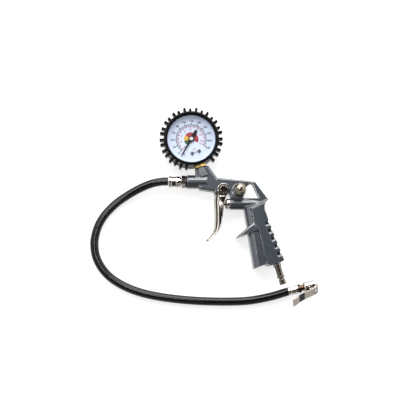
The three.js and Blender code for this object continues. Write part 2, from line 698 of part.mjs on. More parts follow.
function tubeLink() {
  const tail = polar(SECTOR_TAIL, TAIL_ANGLE, SECTOR_AT);
  const tip = polar(TUBE_RADIUS, TIP_ANGLE);
  const angle = Math.atan2(tip[1] - tail[1], tip[0] - tail[0]);
  const length = Math.hypot(tip[0] - tail[0], tip[1] - tail[1]);
  const eye = (x) => rod(1.6, [x, 0, LINK_LOW], [0, 0, 1], 0.5, 14);
  const bar = join(box([length, 1.4, 0.5], [length / 2, 0, LINK_LOW + 0.25]), eye(0), eye(length));
  const holes = [rod(0.75, [0, 0, 2], [0, 0, 1], 3, 12), rod(1.15, [length, 0, 2], [0, 0, 1], 3, 12)];
  const link = mesh('tube_link', cut(bar, ...holes), steel);
  link.position.set(tail[0], tail[1], 0);
  link.rotation.z = angle;
  return link;
}

function hairspring() {
  const points = Array.from({ length: 37 }, (_, i) => {
    const angle = (i / 12) * 2 * Math.PI;
    return [...polar(1.3 + i * 0.075, angle + 1), 3.4];
  });
  const strip = outline([[-0.1, -0.2], [0.1, -0.2], [0.1, 0.2], [-0.1, 0.2]]);
  return mesh('hairspring', swept(points, strip, 36), bronze);
}

function dialPieces() {
  const up = [0, 0, 1];
  const screws = [-4.4, 4.4].map((x) => [x, -16.9]);
  const dial = cut(
    rod(29.6, [0, 0, 5.4], up, 0.6, 40),
    rod(1.6, [0, 0, 5], up, 2, 20),
    ...screws.map(([x, y]) => rod(0.9, [x, y, 5], up, 2, 12)),
  );
  const stop = polar(20.2, Math.PI / 2 + NEEDLE_REST + 4.5 * DEG);
  const gasket = tubeRing(29.1, 29.9, [0, 0, 9.9], up, 0.6, 40);
  return [
    mesh('dial_plate', dial, dialWhite),
    mesh('dial_spacer_ring', tubeRing(29.1, 29.9, [0, 0, 6.3], up, 3.3, 40), dialWhite),
    mesh('lens_gasket', gasket, rubber),
    mesh('gauge_lens', rod(29.8, [0, 0, 10.8], up, 1.5, 40), clear),
    mesh('bezel_ring', tubeRing(29.6, 30.9, [0, 0, 13], up, 0.5, 40), blackMetal),
    mesh('stop_pin', rod(0.6, [...stop, 6.3], up, 2.2, 12), needleBlack),
    ...screws.map(([x, y], i) => {
      const profile = [[0, 0], [0.6, 0], [0.6, 1.3], [2.1, 1.3], [2, 2.1], [0, 2.3]];
      return mesh(i ? 'dial_screw_right' : 'dial_screw_left', turned(profile, [x, y, 5], up, 16), blackMetal);
    }),
  ];
}

function pointerPieces() {
  const tip = 24.6;
  const tail = 12.8;
  const blade = [
    [1.25, 0], [0.85, 14], [0.45, tip - 1], [0, tip], [-0.45, tip - 1], [-0.85, 14], [-1.25, 0],
    [-1.8, -3], [-1.8, -tail + 1.2], [-1.1, -tail], [1.1, -tail], [1.8, -tail + 1.2], [1.8, -3],
  ];
  const hub = rod(3.5, [0, 0, 7], [0, 0, 1], 1.7, 28);
  const needle = cut(join(plate(blade, 7.3, 7.9), hub), rod(1, [0, 0, 6], [0, 0, 1], 4, 16));
  const pointer = mesh('pointer', needle, needleBlack);
  pointer.rotation.z = NEEDLE_REST;
  const cap = turned([[0, 0], [2.4, 0], [2.3, 0.5], [1.4, 1], [0, 1.2]], [0, 0, 9], [0, 0, 1], 24);
  return [pointer, mesh('pointer_cap', cap, cream), pointerShaft()];
}

function gauge() {
  const group = new THREE.Group();
  group.position.set(...GAUGE_AT, 0);
  group.rotation.z = GAUGE_LEAN;
  group.add(
    gaugeBoot(), gaugeCase(), gaugeSocket(), stemSeal(), bourdonTube(), tubeTip(),
    movementPlate('movement_lower_plate', 0.4, 1.2, brass),
    movementPlate('movement_upper_plate', 3.9, 4.6, brass),
    ...movementPillars(), sectorGear(), tubeLink(), hairspring(), ...dialPieces(), ...pointerPieces(),
  );
  return group;
}

// ---------------------------------------------------------------- hose and chuck

function hose() {
  return mesh('hose', swept(HOSE_ROUTE, circle(HOSE_RADIUS, HOSE_SIDES), HOSE_STEPS), rubber);
}

function chuckLever() {
  const [px, py] = LEVER_PIVOT;
  const half = 6.1;
  const side = [
    [px + 6.6, py - 5.2], [px + 7.6, py - 5], [px + 7.8, py - 0.6], [px + 5, py + 1], [px, py + 2.2],
    [px - 9, py + 4.2], [px - 18, py + 7], [px - 22, py + 9.4], [px - 27.4, py + 11.2],
    [px - 27.8, py + 10], [px - 22.6, py + 8], [px - 18.4, py + 5.6], [px - 9.4, py + 2.8],
    [px - 2.4, py + 1], [px - 1.6, py - 1.6], [px + 1.6, py - 1.6], [px + 2.4, py + 0.2],
    [px + 4.8, py - 0.6], [px + 6.2, py - 1.6],
  ];
  const strip = cut(
    plate(side, -half, half),
    box([10, 6, 6.4], [px, py - 1.6, 0]),
    rod(1.15, [px, py, -8], [0, 0, 1], 16, 14),
  );
  return mesh('chuck_lever', strip, steel);
}

function chuckPieces() {
  const along = [1, 0, 0];
  const [px, py] = LEVER_PIVOT;
  const ferruleProfile = [
    [3.1, 0], [5, 0], [5.2, 0.5], [5.2, 3], [4.8, 3.5], [4.8, 9], [5.2, 9.6], [5.2, 12.4],
    [4.4, 12.9], [3.1, 12.9], [3.1, 0],
  ];
  const stem = cut(
    join(
      rod(2.8, [1, 0, 0], along, 13, 16),
      hexAlongX(10, 13.3, 15.9, 0),
      rod(3.6, [15.5, 0, 0], along, 4.2, 20),
    ),
    rod(1.3, [0, 0, 0], along, 24, 10),
  );
  const bodyProfile = [[0, 0], [5, 0], [CHUCK_RADIUS, 1.2], [CHUCK_RADIUS, 13.4], [5.4, 14], [0, 14]];
  const body = cut(
    join(
      turned(bodyProfile, [20, 0, 0], along, 28),
      box([4.6, 6, 5.6], [px, py - 2.6, 0]),
    ),
    rod(4.3, [24.6, 0, 0], along, 12, 20),
    rod(1.3, [18, 0, 0], along, 10, 10),
    rod(1.15, [px, py, -8], [0, 0, 1], 16, 14),
    box([3.4, 4, 10.2], [CHUCK_MOUTH - 0.6, 5.6, 0]),
  );
  const pin = rod(1, [px, py, -5.4], [0, 0, 1], 10.8, 14);
  const depressor = join(rod(1.6, [24.9, 0, 0], along, 0.8, 12), rod(0.7, [25.4, 0, 0], along, 4.6, 10));
  const fixed = [
    mesh('chuck_ferrule', turned(ferruleProfile, [0, 0, 0], along, 12), nickel),
    mesh('chuck_stem', stem, bronze),
    mesh('chuck_body', body, nickel),
    mesh('chuck_seal', tubeRing(1.9, 4, [24.9, 0, 0], along, 2.2, 20), rubber),
    mesh('chuck_depressor', depressor, brass),
    mesh('chuck_lever_pin', pin, steel),
    mesh('chuck_spring', coil(1.2, 0.3, 3.4, 3, [19.6, 6.6, 0], [0.1, 1, 0]), steel),
  ];
  return { fixed, moving: [chuckLever()] };
}

// ---------------------------------------------------------------- the whole tool

const inflator = new THREE.Group();
const gun = new THREE.Group();
gun.position.set(...PIVOT_AT);
const valve = valvePieces();
const bleed = bleedPieces();
gun.add(
  gunBody(), trigger(), pivotRivet(), ...valve.fixed, ...valve.moving, ...bleed.fixed, ...bleed.moving,
  ...outletPieces(), inletPlug(), gauge(),
);

const chuck = new THREE.Group();
chuck.position.set(...CHUCK_AT);
chuck.rotation.set(CHUCK_ROLL, 0, CHUCK_LEAN, 'ZYX');
const chuckParts = chuckPieces();
chuck.add(...chuckParts.fixed, ...chuckParts.moving);

inflator.add(gun, hose(), chuck);

export default inflator;
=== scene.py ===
# Pistol tyre inflator with a booted dial gauge: the looks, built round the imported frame.
# Shapes are drawn in millimetres in one of three frames, and every object ends up in metres in the row frame:
#   GUN    origin on the trigger pivot, X away from the hose end, Y from the grip up to the gauge
#   DIAL   origin on the needle's axis, Y up along the gauge stem
#   CHUCK  origin at the end of the hose, X along the chuck, Y towards its lever
import json
import math

import bmesh
import bpy
import numpy as np
from mathutils import Matrix, Vector

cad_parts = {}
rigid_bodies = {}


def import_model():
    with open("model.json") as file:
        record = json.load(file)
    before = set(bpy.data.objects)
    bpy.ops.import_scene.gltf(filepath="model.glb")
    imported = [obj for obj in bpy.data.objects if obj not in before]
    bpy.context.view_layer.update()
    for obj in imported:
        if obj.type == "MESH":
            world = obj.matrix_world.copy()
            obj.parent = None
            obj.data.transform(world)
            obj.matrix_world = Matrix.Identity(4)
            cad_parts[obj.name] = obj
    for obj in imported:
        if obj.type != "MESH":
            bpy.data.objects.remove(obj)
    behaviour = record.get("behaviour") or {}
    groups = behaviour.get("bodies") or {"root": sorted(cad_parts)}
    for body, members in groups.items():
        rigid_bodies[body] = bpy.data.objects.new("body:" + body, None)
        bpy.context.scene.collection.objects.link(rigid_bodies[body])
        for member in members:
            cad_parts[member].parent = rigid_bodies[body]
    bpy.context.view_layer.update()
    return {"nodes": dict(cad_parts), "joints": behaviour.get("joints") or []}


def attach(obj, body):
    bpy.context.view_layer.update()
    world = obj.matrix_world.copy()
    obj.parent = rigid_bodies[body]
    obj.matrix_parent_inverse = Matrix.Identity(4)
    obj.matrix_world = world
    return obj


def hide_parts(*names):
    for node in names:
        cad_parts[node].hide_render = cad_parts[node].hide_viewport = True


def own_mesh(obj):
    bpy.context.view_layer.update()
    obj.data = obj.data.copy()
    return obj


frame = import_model()
MM = 0.001
DEG = math.pi / 180
JOINTS = {j["name"]: j for j in frame["joints"]}

# ------------ frames

PIVOT = Vector(JOINTS["trigger_pull"]["pos_m"])
DIAL_CENTRE = Vector(JOINTS["pointer_turn"]["pos_m"])
STEM_DOWN = (Vector(JOINTS["sector_turn"]["pos_m"]) - DIAL_CENTRE).normalized()
LEVER_PIVOT = (28, 8.4)  # in the chuck's frame


def frame_matrix(origin, x_axis, y_axis):
    """Local millimetres to the row frame's metres."""
    x, y = Vector(x_axis).normalized(), Vector(y_axis).normalized()
    turn = Matrix((x, y, x.cross(y))).transposed().to_4x4()
    return Matrix.Translation(origin) @ turn @ Matrix.Scale(MM, 4)


def chuck_matrix():
    z = Vector(JOINTS["chuck_lever_press"]["axis"])
    x = Vector((-z.y, z.x, 0)).normalized()
    y = z.cross(x)
    pivot = Vector(JOINTS["chuck_lever_press"]["pos_m"])
    return frame_matrix(pivot - (x * LEVER_PIVOT[0] + y * LEVER_PIVOT[1]) * MM, x, y)


GUN = frame_matrix(PIVOT, (1, 0, 0), (0, 1, 0))
DIAL = frame_matrix(DIAL_CENTRE, (-STEM_DOWN.y, STEM_DOWN.x, 0), -STEM_DOWN)
CHUCK = chuck_matrix()
ROW = Matrix.Scale(MM, 4)
ORIGIN, ALONG, UP = (0, 0, 0), (1, 0, 0), (0, 0, 1)


def new_object(name, data):
    made = bpy.data.objects.new(name, data)
    bpy.context.scene.collection.objects.link(made)
    return made


def baked(source):
    """A new mesh of an object with its modifiers applied."""
    return bpy.data.meshes.new_from_object(source.evaluated_get(bpy.context.evaluated_depsgraph_get()))


# ------------ camera

AZIMUTH, ELEVATION, DISTANCE = -25 * DEG, 80.5 * DEG, 0.9
AIM = Vector((-0.0179, -0.014, 0.013))
LENS = 64.4


def make_camera():
    back = Vector((
        math.sin(AZIMUTH) * math.cos(ELEVATION),
        -math.cos(AZIMUTH) * math.cos(ELEVATION),
        math.sin(ELEVATION),
    ))
    right = Vector((0, 1, 0)).cross(back).normalized()
    up = back.cross(right)
    data = bpy.data.cameras.new("camera")
    data.lens, data.sensor_width = LENS, 36
    camera = new_object("camera", data)
    turn = Matrix((right, up, back)).transposed().to_4x4()
    camera.matrix_world = Matrix.Translation(AIM + back * DISTANCE) @ turn
    bpy.context.scene.camera = camera


make_camera()

# ------------ node helpers

RANGE = ("From Min", "From Max", "To Min", "To Max")


class Shader:
    """A Principled material and the few node patterns that these materials share. Coordinates are metres."""

    def __init__(self, name, **values):
        self.material = bpy.data.materials.new(name)
        self.material.use_nodes = True
        self.nodes = self.material.node_tree.nodes
        self.links = self.material.node_tree.links
        self.bsdf = self.nodes["Principled BSDF"]
        for key, value in values.items():
            self.bsdf.inputs[key.replace("_", " ")].default_value = value
        self.coords = self.nodes.new("ShaderNodeTexCoord").outputs["Object"]

    def link(self, source, target):
        self.links.new(source, target)

    def feed(self, value, target):
        """Gives a socket a number, a colour or another node's output."""
        if isinstance(value, (tuple, float, int)):
            target.default_value = (*value, 1) if isinstance(value, tuple) else value
        else:
            self.link(value, target)

    def noise(self, scale, detail=3.0, coords=None):
        node = self.nodes.new("ShaderNodeTexNoise")
        node.inputs["Scale"].default_value = scale
        node.inputs["Detail"].default_value = detail
        self.link(coords or self.coords, node.inputs["Vector"])
        return node.outputs["Fac"]

    def stretched(self, x, y, z):
        node = self.nodes.new("ShaderNodeMapping")
        node.inputs["Scale"].default_value = (x, y, z)
        self.link(self.coords, node.inputs["Vector"])
        return node.outputs["Vector"]

    def ramp(self, source, low, high, start, end):
        node = self.nodes.new("ShaderNodeMapRange")
        for socket, value in zip(RANGE, (low, high, start, end)):
            node.inputs[socket].default_value = value
        self.link(source, node.inputs["Value"])
        return node.outputs["Result"]

    def mix(self, factor, first, second):
        node = self.nodes.new("ShaderNodeMix")
        node.data_type = "RGBA"
        for socket, kind, value in (("Factor", "VALUE", factor), ("A", "RGBA", first), ("B", "RGBA", second)):
            self.feed(value, next(s for s in node.inputs if s.name == socket and s.type == kind))
        return next(s for s in node.outputs if s.type == "RGBA")

    def math(self, operation, first, second):
        node = self.nodes.new("ShaderNodeMath")
        node.operation = operation
        self.feed(first, node.inputs[0])
        self.feed(second, node.inputs[1])
        return node.outputs["Value"]

    def times(self, first, second):
        return self.math("MULTIPLY", first, second)

    def split(self, vector):
        node = self.nodes.new("ShaderNodeSeparateXYZ")
        self.link(vector, node.inputs["Vector"])
        return node.outputs

    def geometry(self, output):
        return self.nodes.new("ShaderNodeNewGeometry").outputs[output]

    def upright(self, flat, most):
        """A value that falls from most on upright faces to nothing on flat ones."""
        height = self.math("ABSOLUTE", self.split(self.geometry("Normal"))["Z"], 0)
        return self.ramp(height, 0.3, flat, most, 0)

    def mottled(self, first, second, scale, detail=3.0, low=0.4, high=0.7):
        """One colour drifting into another in soft patches."""
        return self.mix(self.ramp(self.noise(scale, detail), low, high, 0, 1), first, second)

    def colour(self, source):
        self.link(source, self.bsdf.inputs["Base Color"])

    def roughness(self, low, high, scale=350, detail=4):
        self.link(self.ramp(self.noise(scale, detail), 0.3, 0.7, low, high), self.bsdf.inputs["Roughness"])

    def bump(self, height, distance, strength=1.0):
        node = self.nodes.new("ShaderNodeBump")
        node.inputs["Distance"].default_value = distance
        node.inputs["Strength"].default_value = strength
        self.link(height, node.inputs["Height"])
        self.link(node.outputs["Normal"], self.bsdf.inputs["Normal"])
        self.link(node.outputs["Normal"], self.bsdf.inputs["Coat Normal"])


# ------------ materials

# dark colour painted on metal faces as shade and dark reflections
PAINTED_SHADE = (0.035, 0.031, 0.028)
# heights over which the painted shade on the trigger's upright faces grows towards the lip
LIP_SHADE_BAND = (PIVOT.y - 0.049, PIVOT.y - 0.056)
# bounds of the painted shade, standing for a dark reflection, on the trigger's flank behind the nose
FLANK_START, FLANK_EDGE, FLANK_BACK = PIVOT.x - 0.0058, PIVOT.x - 0.0050, PIVOT.x - 0.0015
FLANK_TOP = (PIVOT.y - 0.005, PIVOT.y - 0.010)
CURL_START, CURL_SLOPE = PIVOT.y - 0.044, 0.55  # where the trigger curls towards the hose, and how fast
# where a painted dark reflection crosses the lever's tail, and how far its edges fade
LEVER_PAINTED_REFLECTION, REFLECTION_FADE = (0.0579, 0.0663), 0.0006  # along the chuck's axis
HOSE_BRAID_PITCH = 0.0024
HOSE_BRAID_STARTS = 6
HOSE_BRAID_DEPTH = 0.000022


def paint_material():
    """Semi-gloss grey paint on a die casting: orange peel, faint mottling, convex edges made lighter (rubbed
    paint and a painted highlight), and painted shade in the corners and on the faces turned away from the
    gauge, which also lose some of their coat's shine."""
    s = Shader("paint", Coat_Weight=1.0, Coat_Roughness=0.16, Coat_IOR=1.9, IOR=1.45)
    mottle = s.mottled((0.026, 0.036, 0.050), (0.033, 0.044, 0.059), 90, low=0.35, high=0.65)
    point = s.geometry("Pointiness")
    # convex edges lighter: partly rubbed paint, partly a painted highlight
    edge = s.times(s.ramp(point, 0.511, 0.553, 0, 1), s.ramp(s.noise(400), 0.3, 0.7, 0.55, 1.0))
    # painted shade in concave corners
    corner = s.ramp(point, 0.487, 0.45, 0, 0.85)
    # painted shade on faces turned away from the gauge; these faces also get less coat below
    painted_under_shade = s.ramp(s.split(s.geometry("Normal"))["Y"], -0.2, -0.6, 0, 1)
    painted_corner_and_under_shade = s.math("MAXIMUM", corner, s.times(painted_under_shade, 0.75))
    s.colour(s.mix(painted_corner_and_under_shade, s.mix(edge, mottle, (0.20, 0.225, 0.26)), (0.005, 0.006, 0.008)))
    s.link(s.ramp(painted_under_shade, 0, 1, 1.0, 0.35), s.bsdf.inputs["Coat Weight"])
    s.roughness(0.30, 0.44, 260, 3)
    s.bump(s.noise(1500, 2), 0.00005, 0.5)
    return s.material


def metal_material(name, colour, roughness, tarnish=(0.8, 0.75, 0.7), sides=0.0, grain=(900, 900, 900)):
    """Metal with a fine grain and faint tarnish; sides is how far painted shade, standing for dark
    reflections, darkens its upright faces.
    """
    s = Shader(name, Metallic=1.0)
    dull = tuple(c * t for c, t in zip(colour, tarnish))
    plain = s.mottled(colour, dull, 150, 4, 0.42, 0.75)
    # painted shade on upright faces, standing for dark reflections
    if sides:
        plain = s.mix(s.upright(0.62, sides), plain, PAINTED_SHADE)
    s.colour(plain)
    s.roughness(roughness * 0.75, roughness * 1.35)
    s.bump(s.noise(1, 3, coords=s.stretched(*grain)), 0.00002, 0.35)
    return s.material


def trigger_material():
    """Bright nickel plating, with painted shade (dark reflections) on its upright faces, round the lip, and
    on the flank behind the nose.
    """
    s = Shader("trigger_nickel", Metallic=1.0)
    place = s.split(s.coords)
    # painted shade: upright faces, heavier towards the lip, and the flank behind the nose
    upright = s.times(s.upright(0.66, 1), s.ramp(place["Y"], *LIP_SHADE_BAND, 0.45, 0.92))
    curl = s.math("MAXIMUM", s.math("SUBTRACT", CURL_START, place["Y"]), 0)
    across = s.math("ADD", place["X"], s.times(curl, CURL_SLOPE))
    flank = s.ramp(across, FLANK_START, FLANK_EDGE, 0, 1)
    flank = s.times(flank, s.ramp(across, FLANK_EDGE, FLANK_BACK, 0.72, 0.97))
    flank = s.times(flank, s.ramp(place["Y"], *FLANK_TOP, 0, 1))
    plain = s.mottled((0.68, 0.64, 0.59), (0.54, 0.49, 0.44), 150, 4, 0.42, 0.75)
    s.colour(s.mix(s.math("MAXIMUM", upright, flank), plain, PAINTED_SHADE))
    s.roughness(0.07, 0.12)
    s.bump(s.noise(1, 3, coords=s.stretched(2600, 200, 900)), 0.00002, 0.3)
    return s.material


def lever_material():
    """Plated strip, with a painted dark reflection across the middle of the tail."""
    s = Shader("lever_steel", Metallic=1.0)
    along = s.nodes.new("ShaderNodeVectorMath")
    along.operation = "DOT_PRODUCT"
    along.inputs[1].default_value = CHUCK.to_3x3().col[0].normalized()
    s.link(s.coords, along.inputs[0])
    place = along.outputs["Value"]
    start, end = LEVER_PAINTED_REFLECTION
    rise, fall = s.ramp(place, start, start + REFLECTION_FADE, 0, 1), s.ramp(place, end, end - REFLECTION_FADE, 0, 1)
    plain = s.mottled((0.30, 0.27, 0.235), (0.22, 0.20, 0.175), 600, 4)
    # the painted dark reflection across the tail
    s.colour(s.mix(s.times(rise, fall), plain, (0.014, 0.012, 0.011)))
    s.roughness(0.18, 0.3)
    s.bump(s.noise(1200, 3), 0.00002, 0.35)
    return s.material


def rubber_material(name, colour, roughness, grain=1800, depth=0.00008, shine=0.22):
    """Moulded rubber: a fine matte grain with dusty patches."""
    s = Shader(name, Specular_IOR_Level=shine)
    dusty = tuple(c * 1.6 + 0.002 for c in colour)
    s.colour(s.mottled(colour, dusty, 120, 5, 0.45, 0.8))
    s.roughness(roughness - 0.08, roughness + 0.1, 300, 3)
    s.bump(s.noise(grain, 3), depth, 0.4)
    return s.material


def hose_material():
    """Rubber hose cover: the braid under it shows as two crossing sets of shallow helical ridges."""
    s = Shader("hose_rubber", Specular_IOR_Level=0.4)
    uv = s.nodes.new("ShaderNodeUVMap")
    uv.uv_map = "along"
    place = s.split(uv.outputs["UV"])
    along = s.times(place["X"], 2 * math.pi / HOSE_BRAID_PITCH)
    around = s.times(place["Y"], 2 * math.pi * HOSE_BRAID_STARTS)
    left = s.math("SINE", s.math("ADD", along, around), 0)
    right = s.math("SINE", s.math("SUBTRACT", along, around), 0)
    braid = s.times(s.math("ADD", left, right), 0.5)
    s.colour(s.mottled((0.0022, 0.0022, 0.0026), (0.004, 0.004, 0.0048), 160, 4, high=0.8))
    s.roughness(0.13, 0.2, 220, 3)
    s.bump(braid, HOSE_BRAID_DEPTH, 1.0)
    return s.material


def print_material(name, colour):
    """Screen-printed ink on the dial, slightly uneven."""
    s = Shader(name, Roughness=0.55)
    faded = tuple(c * 0.8 + 0.05 for c in colour)
    s.colour(s.mottled(colour, faded, 700, 2))
    s.bump(s.noise(2500, 2), 0.00002, 0.3)
    return s.material


def dial_material():
    """White enamelled sheet, very faintly mottled."""
    s = Shader("dial_white", Roughness=0.42, Coat_Weight=0.15)
    s.colour(s.mottled((0.80, 0.83, 0.90), (0.72, 0.76, 0.86), 60, 4, low=0.35))
    s.bump(s.noise(2200, 2), 0.00002, 0.25)
    return s.material


def lens_material():
    """Thin clear window: what is behind it shows, and it mirrors a little at a glance."""
    material = bpy.data.materials.new("clear_lens")
    material.use_nodes = True
    nodes, links = material.node_tree.nodes, material.node_tree.links
    nodes.remove(nodes["Principled BSDF"])
    through, glossy = nodes.new("ShaderNodeBsdfTransparent"), nodes.new("ShaderNodeBsdfGlossy")
    through.inputs["Color"].default_value = (0.95, 0.97, 1.0, 1)
    glossy.inputs["Roughness"].default_value = 0.03
    blend, facing = nodes.new("ShaderNodeMixShader"), nodes.new("ShaderNodeLayerWeight")
    power, sheen = nodes.new("ShaderNodeMath"), nodes.new("ShaderNodeMath")
    power.operation, sheen.operation = "POWER", "MULTIPLY_ADD"
    power.inputs[1].default_value = 5
    sheen.inputs[1].default_value, sheen.inputs[2].default_value = 0.9, 0.015
    links.new(facing.outputs["Facing"], power.inputs[0])
    links.new(power.outputs["Value"], sheen.inputs[0])
    links.new(sheen.outputs["Value"], blend.inputs["Fac"])
    links.new(through.outputs["BSDF"], blend.inputs[1])
    links.new(glossy.outputs["BSDF"], blend.inputs[2])
    links.new(blend.outputs["Shader"], nodes["Material Output"].inputs["Surface"])
    return material


# colour, roughness, tarnish, painted shade on upright faces (standing for dark reflections), grain
METALS = {
    "chrome": ((0.80, 0.77, 0.72), 0.07, (0.9, 0.86, 0.8), 0.8),
    "nickel": ((0.32, 0.297, 0.267), 0.11, (0.55, 0.51, 0.47), 0.97),
    "warm_chrome": ((0.46, 0.41, 0.345), 0.08, (0.8, 0.72, 0.64), 0.75),
    "steel": ((0.40, 0.37, 0.33), 0.27, (0.8, 0.75, 0.7), 0.0, (3000, 600, 600)),
    "brass": ((0.80, 0.60, 0.22), 0.2, (0.8, 0.7, 0.5)),
    "bronze": ((0.15, 0.095, 0.065), 0.2, (0.4, 0.38, 0.36), 0.8),
    "black_metal": ((0.016, 0.015, 0.015), 0.22),
    "screw_black": ((0.16, 0.15, 0.15), 0.3),
}
INKS = {
    "ink_black": (0.012, 0.012, 0.014), "ink_red": (0.42, 0.045, 0.06), "zone_red": (0.43, 0.020, 0.030),
    "zone_yellow": (0.86, 0.46, 0.03), "zone_green": (0.012, 0.10, 0.035), "cream": (0.80, 0.74, 0.62),
}
LOOKS = {
    "paint": paint_material(),
    "trigger_nickel": trigger_material(),
    "lever_steel": lever_material(),
    "boot": rubber_material("boot_rubber", (0.0025, 0.0025, 0.0029), 0.34, shine=0.1),
    "black_plastic": rubber_material("black_plastic", (0.004, 0.004, 0.0045), 0.3, grain=2600, depth=0.00002),
    "rubber": rubber_material("seal_rubber", (0.012, 0.012, 0.012), 0.55),
    "needle_black": rubber_material("needle_black", (0.006, 0.006, 0.007), 0.38, grain=3000, depth=0.00002),
    "dial_white": dial_material(),
    "clear_lens": lens_material(),
    "hose": hose_material(),
}
LOOKS.update({name: metal_material(name, *values) for name, values in METALS.items()})
LOOKS.update({name: print_material(name, colour) for name, colour in INKS.items()})

# ------------ mesh helpers


def filleted(points, radius, steps=4, closed=False):
    """A 2-D line with its corners rounded by arcs, kept within half of the shorter neighbour segment."""
    points = [Vector(p) for p in points]
    count = len(points)
    out = []
    for i, corner in enumerate(points):
        if not closed and i in (0, count - 1):
            out.append(corner)
            continue
        before, after = points[i - 1] - corner, points[(i + 1) % count] - corner
        opening = before.angle(after, math.pi)
        if opening > math.pi - 0.2 or opening < 0.02:
            out.append(corner)
            continue
        reach = min(radius / math.tan(opening / 2), before.length * 0.48, after.length * 0.48)
        arc_radius = reach * math.tan(opening / 2)
        bisector = (before.normalized() + after.normalized()).normalized()
        centre = corner + bisector * (arc_radius / math.sin(opening / 2))
        first, last = (corner + side.normalized() * reach - centre for side in (before, after))
        sweep = first.angle_signed(last)
        for k in range(steps + 1):
            angle = -sweep * k / steps
            c, s = math.cos(angle), math.sin(angle)
            out.append(centre + Vector((first.x * c - first.y * s, first.x * s + first.y * c)))
    return [tuple(p) for p in out]


def add_lathe(bm, profile, start=ORIGIN, direction=UP, sides=96):
    """Turns a profile of (radius, distance) round a line: it ends on the axis, or closes on itself."""
    along = Vector(direction).normalized()
    turn = Vector(UP).rotation_difference(along).to_matrix()
    closed = Vector(profile[0]) == Vector(profile[-1])
    rows = profile[:-1] if closed else profile
    rings = []
    for radius, distance in rows:
        if radius < 1e-6:
            rings.append([bm.verts.new(Vector(start) + along * distance)] * sides)
            continue
        angles = [2 * math.pi * k / sides for k in range(sides)]
        spots = [turn @ Vector((radius * math.cos(a), radius * math.sin(a), distance)) for a in angles]
        rings.append([bm.verts.new(Vector(start) + spot) for spot in spots])
    pairs = list(zip(rings, rings[1:])) + ([(rings[-1], rings[0])] if closed else [])
    for low, high in pairs:
        for k in range(sides):
            loop = [low[k], low[(k + 1) % sides], high[(k + 1) % sides], high[k]]
            unique = list(dict.fromkeys(loop))
            if len(unique) > 2:
                bm.faces.new(unique)


def tube(inner, outer, low, high):
    """The closed profile of a plain ring."""
    return [(inner, low), (outer, low), (outer, high), (inner, high), (inner, low)]


def add_sides(bm, first, second):
    """The faces between two closed rings of vertices."""
    count = len(first)
    ends = [(k, (k + 1) % count) for k in range(count)]
    return [bm.faces.new((first[k], first[m], second[m], second[k])) for k, m in ends]


def add_mesh(bm, other):
    """Moves one bmesh into another."""
    shared = bpy.data.meshes.new("shared")
    other.to_mesh(shared)
    other.free()
    bm.from_mesh(shared)
    bpy.data.meshes.remove(shared)


def add_prism(bm, outline, low, high, bevel=0.0):
    """Extrudes a flat outline between two heights, with its rim edges rounded."""
    bottom = [bm.verts.new((x, y, low)) for x, y in outline]
    top = [bm.verts.new((x, y, high)) for x, y in outline]
    faces = [bm.faces.new(bottom[::-1]), bm.faces.new(top)] + add_sides(bm, bottom, top)
    if bevel:
        bmesh.ops.recalc_face_normals(bm, faces=faces)
        rims = list(faces[0].edges) + list(faces[1].edges)
        bmesh.ops.bevel(
            bm, geom=rims, offset=bevel, segments=3, affect="EDGES", profile=0.5, clamp_overlap=True,
        )


def mesh_from(bm, name, matrix=ROW, crease=34):
    """A mesh in the row frame with smooth faces, sharp only across edges steeper than the crease angle."""
    bmesh.ops.remove_doubles(bm, verts=bm.verts, dist=1e-5)
    bmesh.ops.recalc_face_normals(bm, faces=bm.faces)
    bm.transform(matrix)
    for face in bm.faces:
        face.smooth = True
    for edge in bm.edges:
        edge.smooth = edge.calc_face_angle(0) < crease * DEG
    mesh = bpy.data.meshes.new(name)
    bm.to_mesh(mesh)
    bm.free()
    return mesh


def add_piece(name, mesh, look, body="gun", replaces=()):
    """An object on a CAD body, standing for the CAD nodes named."""
    piece = new_object(name, mesh)
    mesh.materials.clear()
    mesh.materials.append(LOOKS[look])
    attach(piece, body)
    if replaces:
        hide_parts(*replaces)
    return piece


def weighted(piece):
    modifier = piece.modifiers.new("weighted_normals", "WEIGHTED_NORMAL")
    modifier.keep_sharp = True
    return piece


def turned_piece(name, parts, look, matrix=GUN, body="gun", replaces=(), round_by=0.25, sides=96):
    """A piece made of lathe shapes, each (profile, start, direction), with rounded edges."""
    bm = bmesh.new()
    for profile, start, direction in parts:
        add_lathe(bm, filleted(profile, round_by), start, direction, sides)
    return weighted(add_piece(name, mesh_from(bm, name, matrix), look, body, replaces))


def fused(mesh, voxel, smoothing):
    """The mesh as one skin: joined by voxels, then smoothed, which rounds its edges as a mould does."""
    temporary = new_object("temporary", mesh)
    remesh = temporary.modifiers.new("remesh", "REMESH")
    remesh.mode, remesh.voxel_size, remesh.use_smooth_shade = "VOXEL", voxel, True
    smooth = temporary.modifiers.new("smooth", "SMOOTH")
    smooth.factor, smooth.iterations = 0.5, smoothing
    result = baked(temporary)
    bpy.data.objects.remove(temporary)
    result.polygons.foreach_set("use_smooth", [True] * len(result.polygons))
    return result


def carved(mesh, tools, matrix):
    """The mesh with solids cut out of it; each tool is a function that fills a bmesh."""
    base = new_object("base", mesh)
    cutters = []
    for tool in tools:
        bm = bmesh.new()
        tool(bm)
        cutter = new_object("cutter", mesh_from(bm, "cutter", matrix))
        cut = base.modifiers.new("cut", "BOOLEAN")
        cut.operation, cut.solver, cut.object = "DIFFERENCE", "EXACT", cutter
        cutters.append(cutter)
    made = baked(base)
    for done in (base, *cutters):
        bpy.data.objects.remove(done)
    return made


def rectangle(x, y, width, height):
    """The corners of an upright rectangle about a middle."""
    w, h = width / 2, height / 2
    return [(x - w, y - h), (x + w, y - h), (x + w, y + h), (x - w, y + h)]


def add_box(bm, size, at):
    add_prism(bm, rectangle(at[0], at[1], size[0], size[1]), at[2] - size[2] / 2, at[2] + size[2] / 2)


# ------------ hose

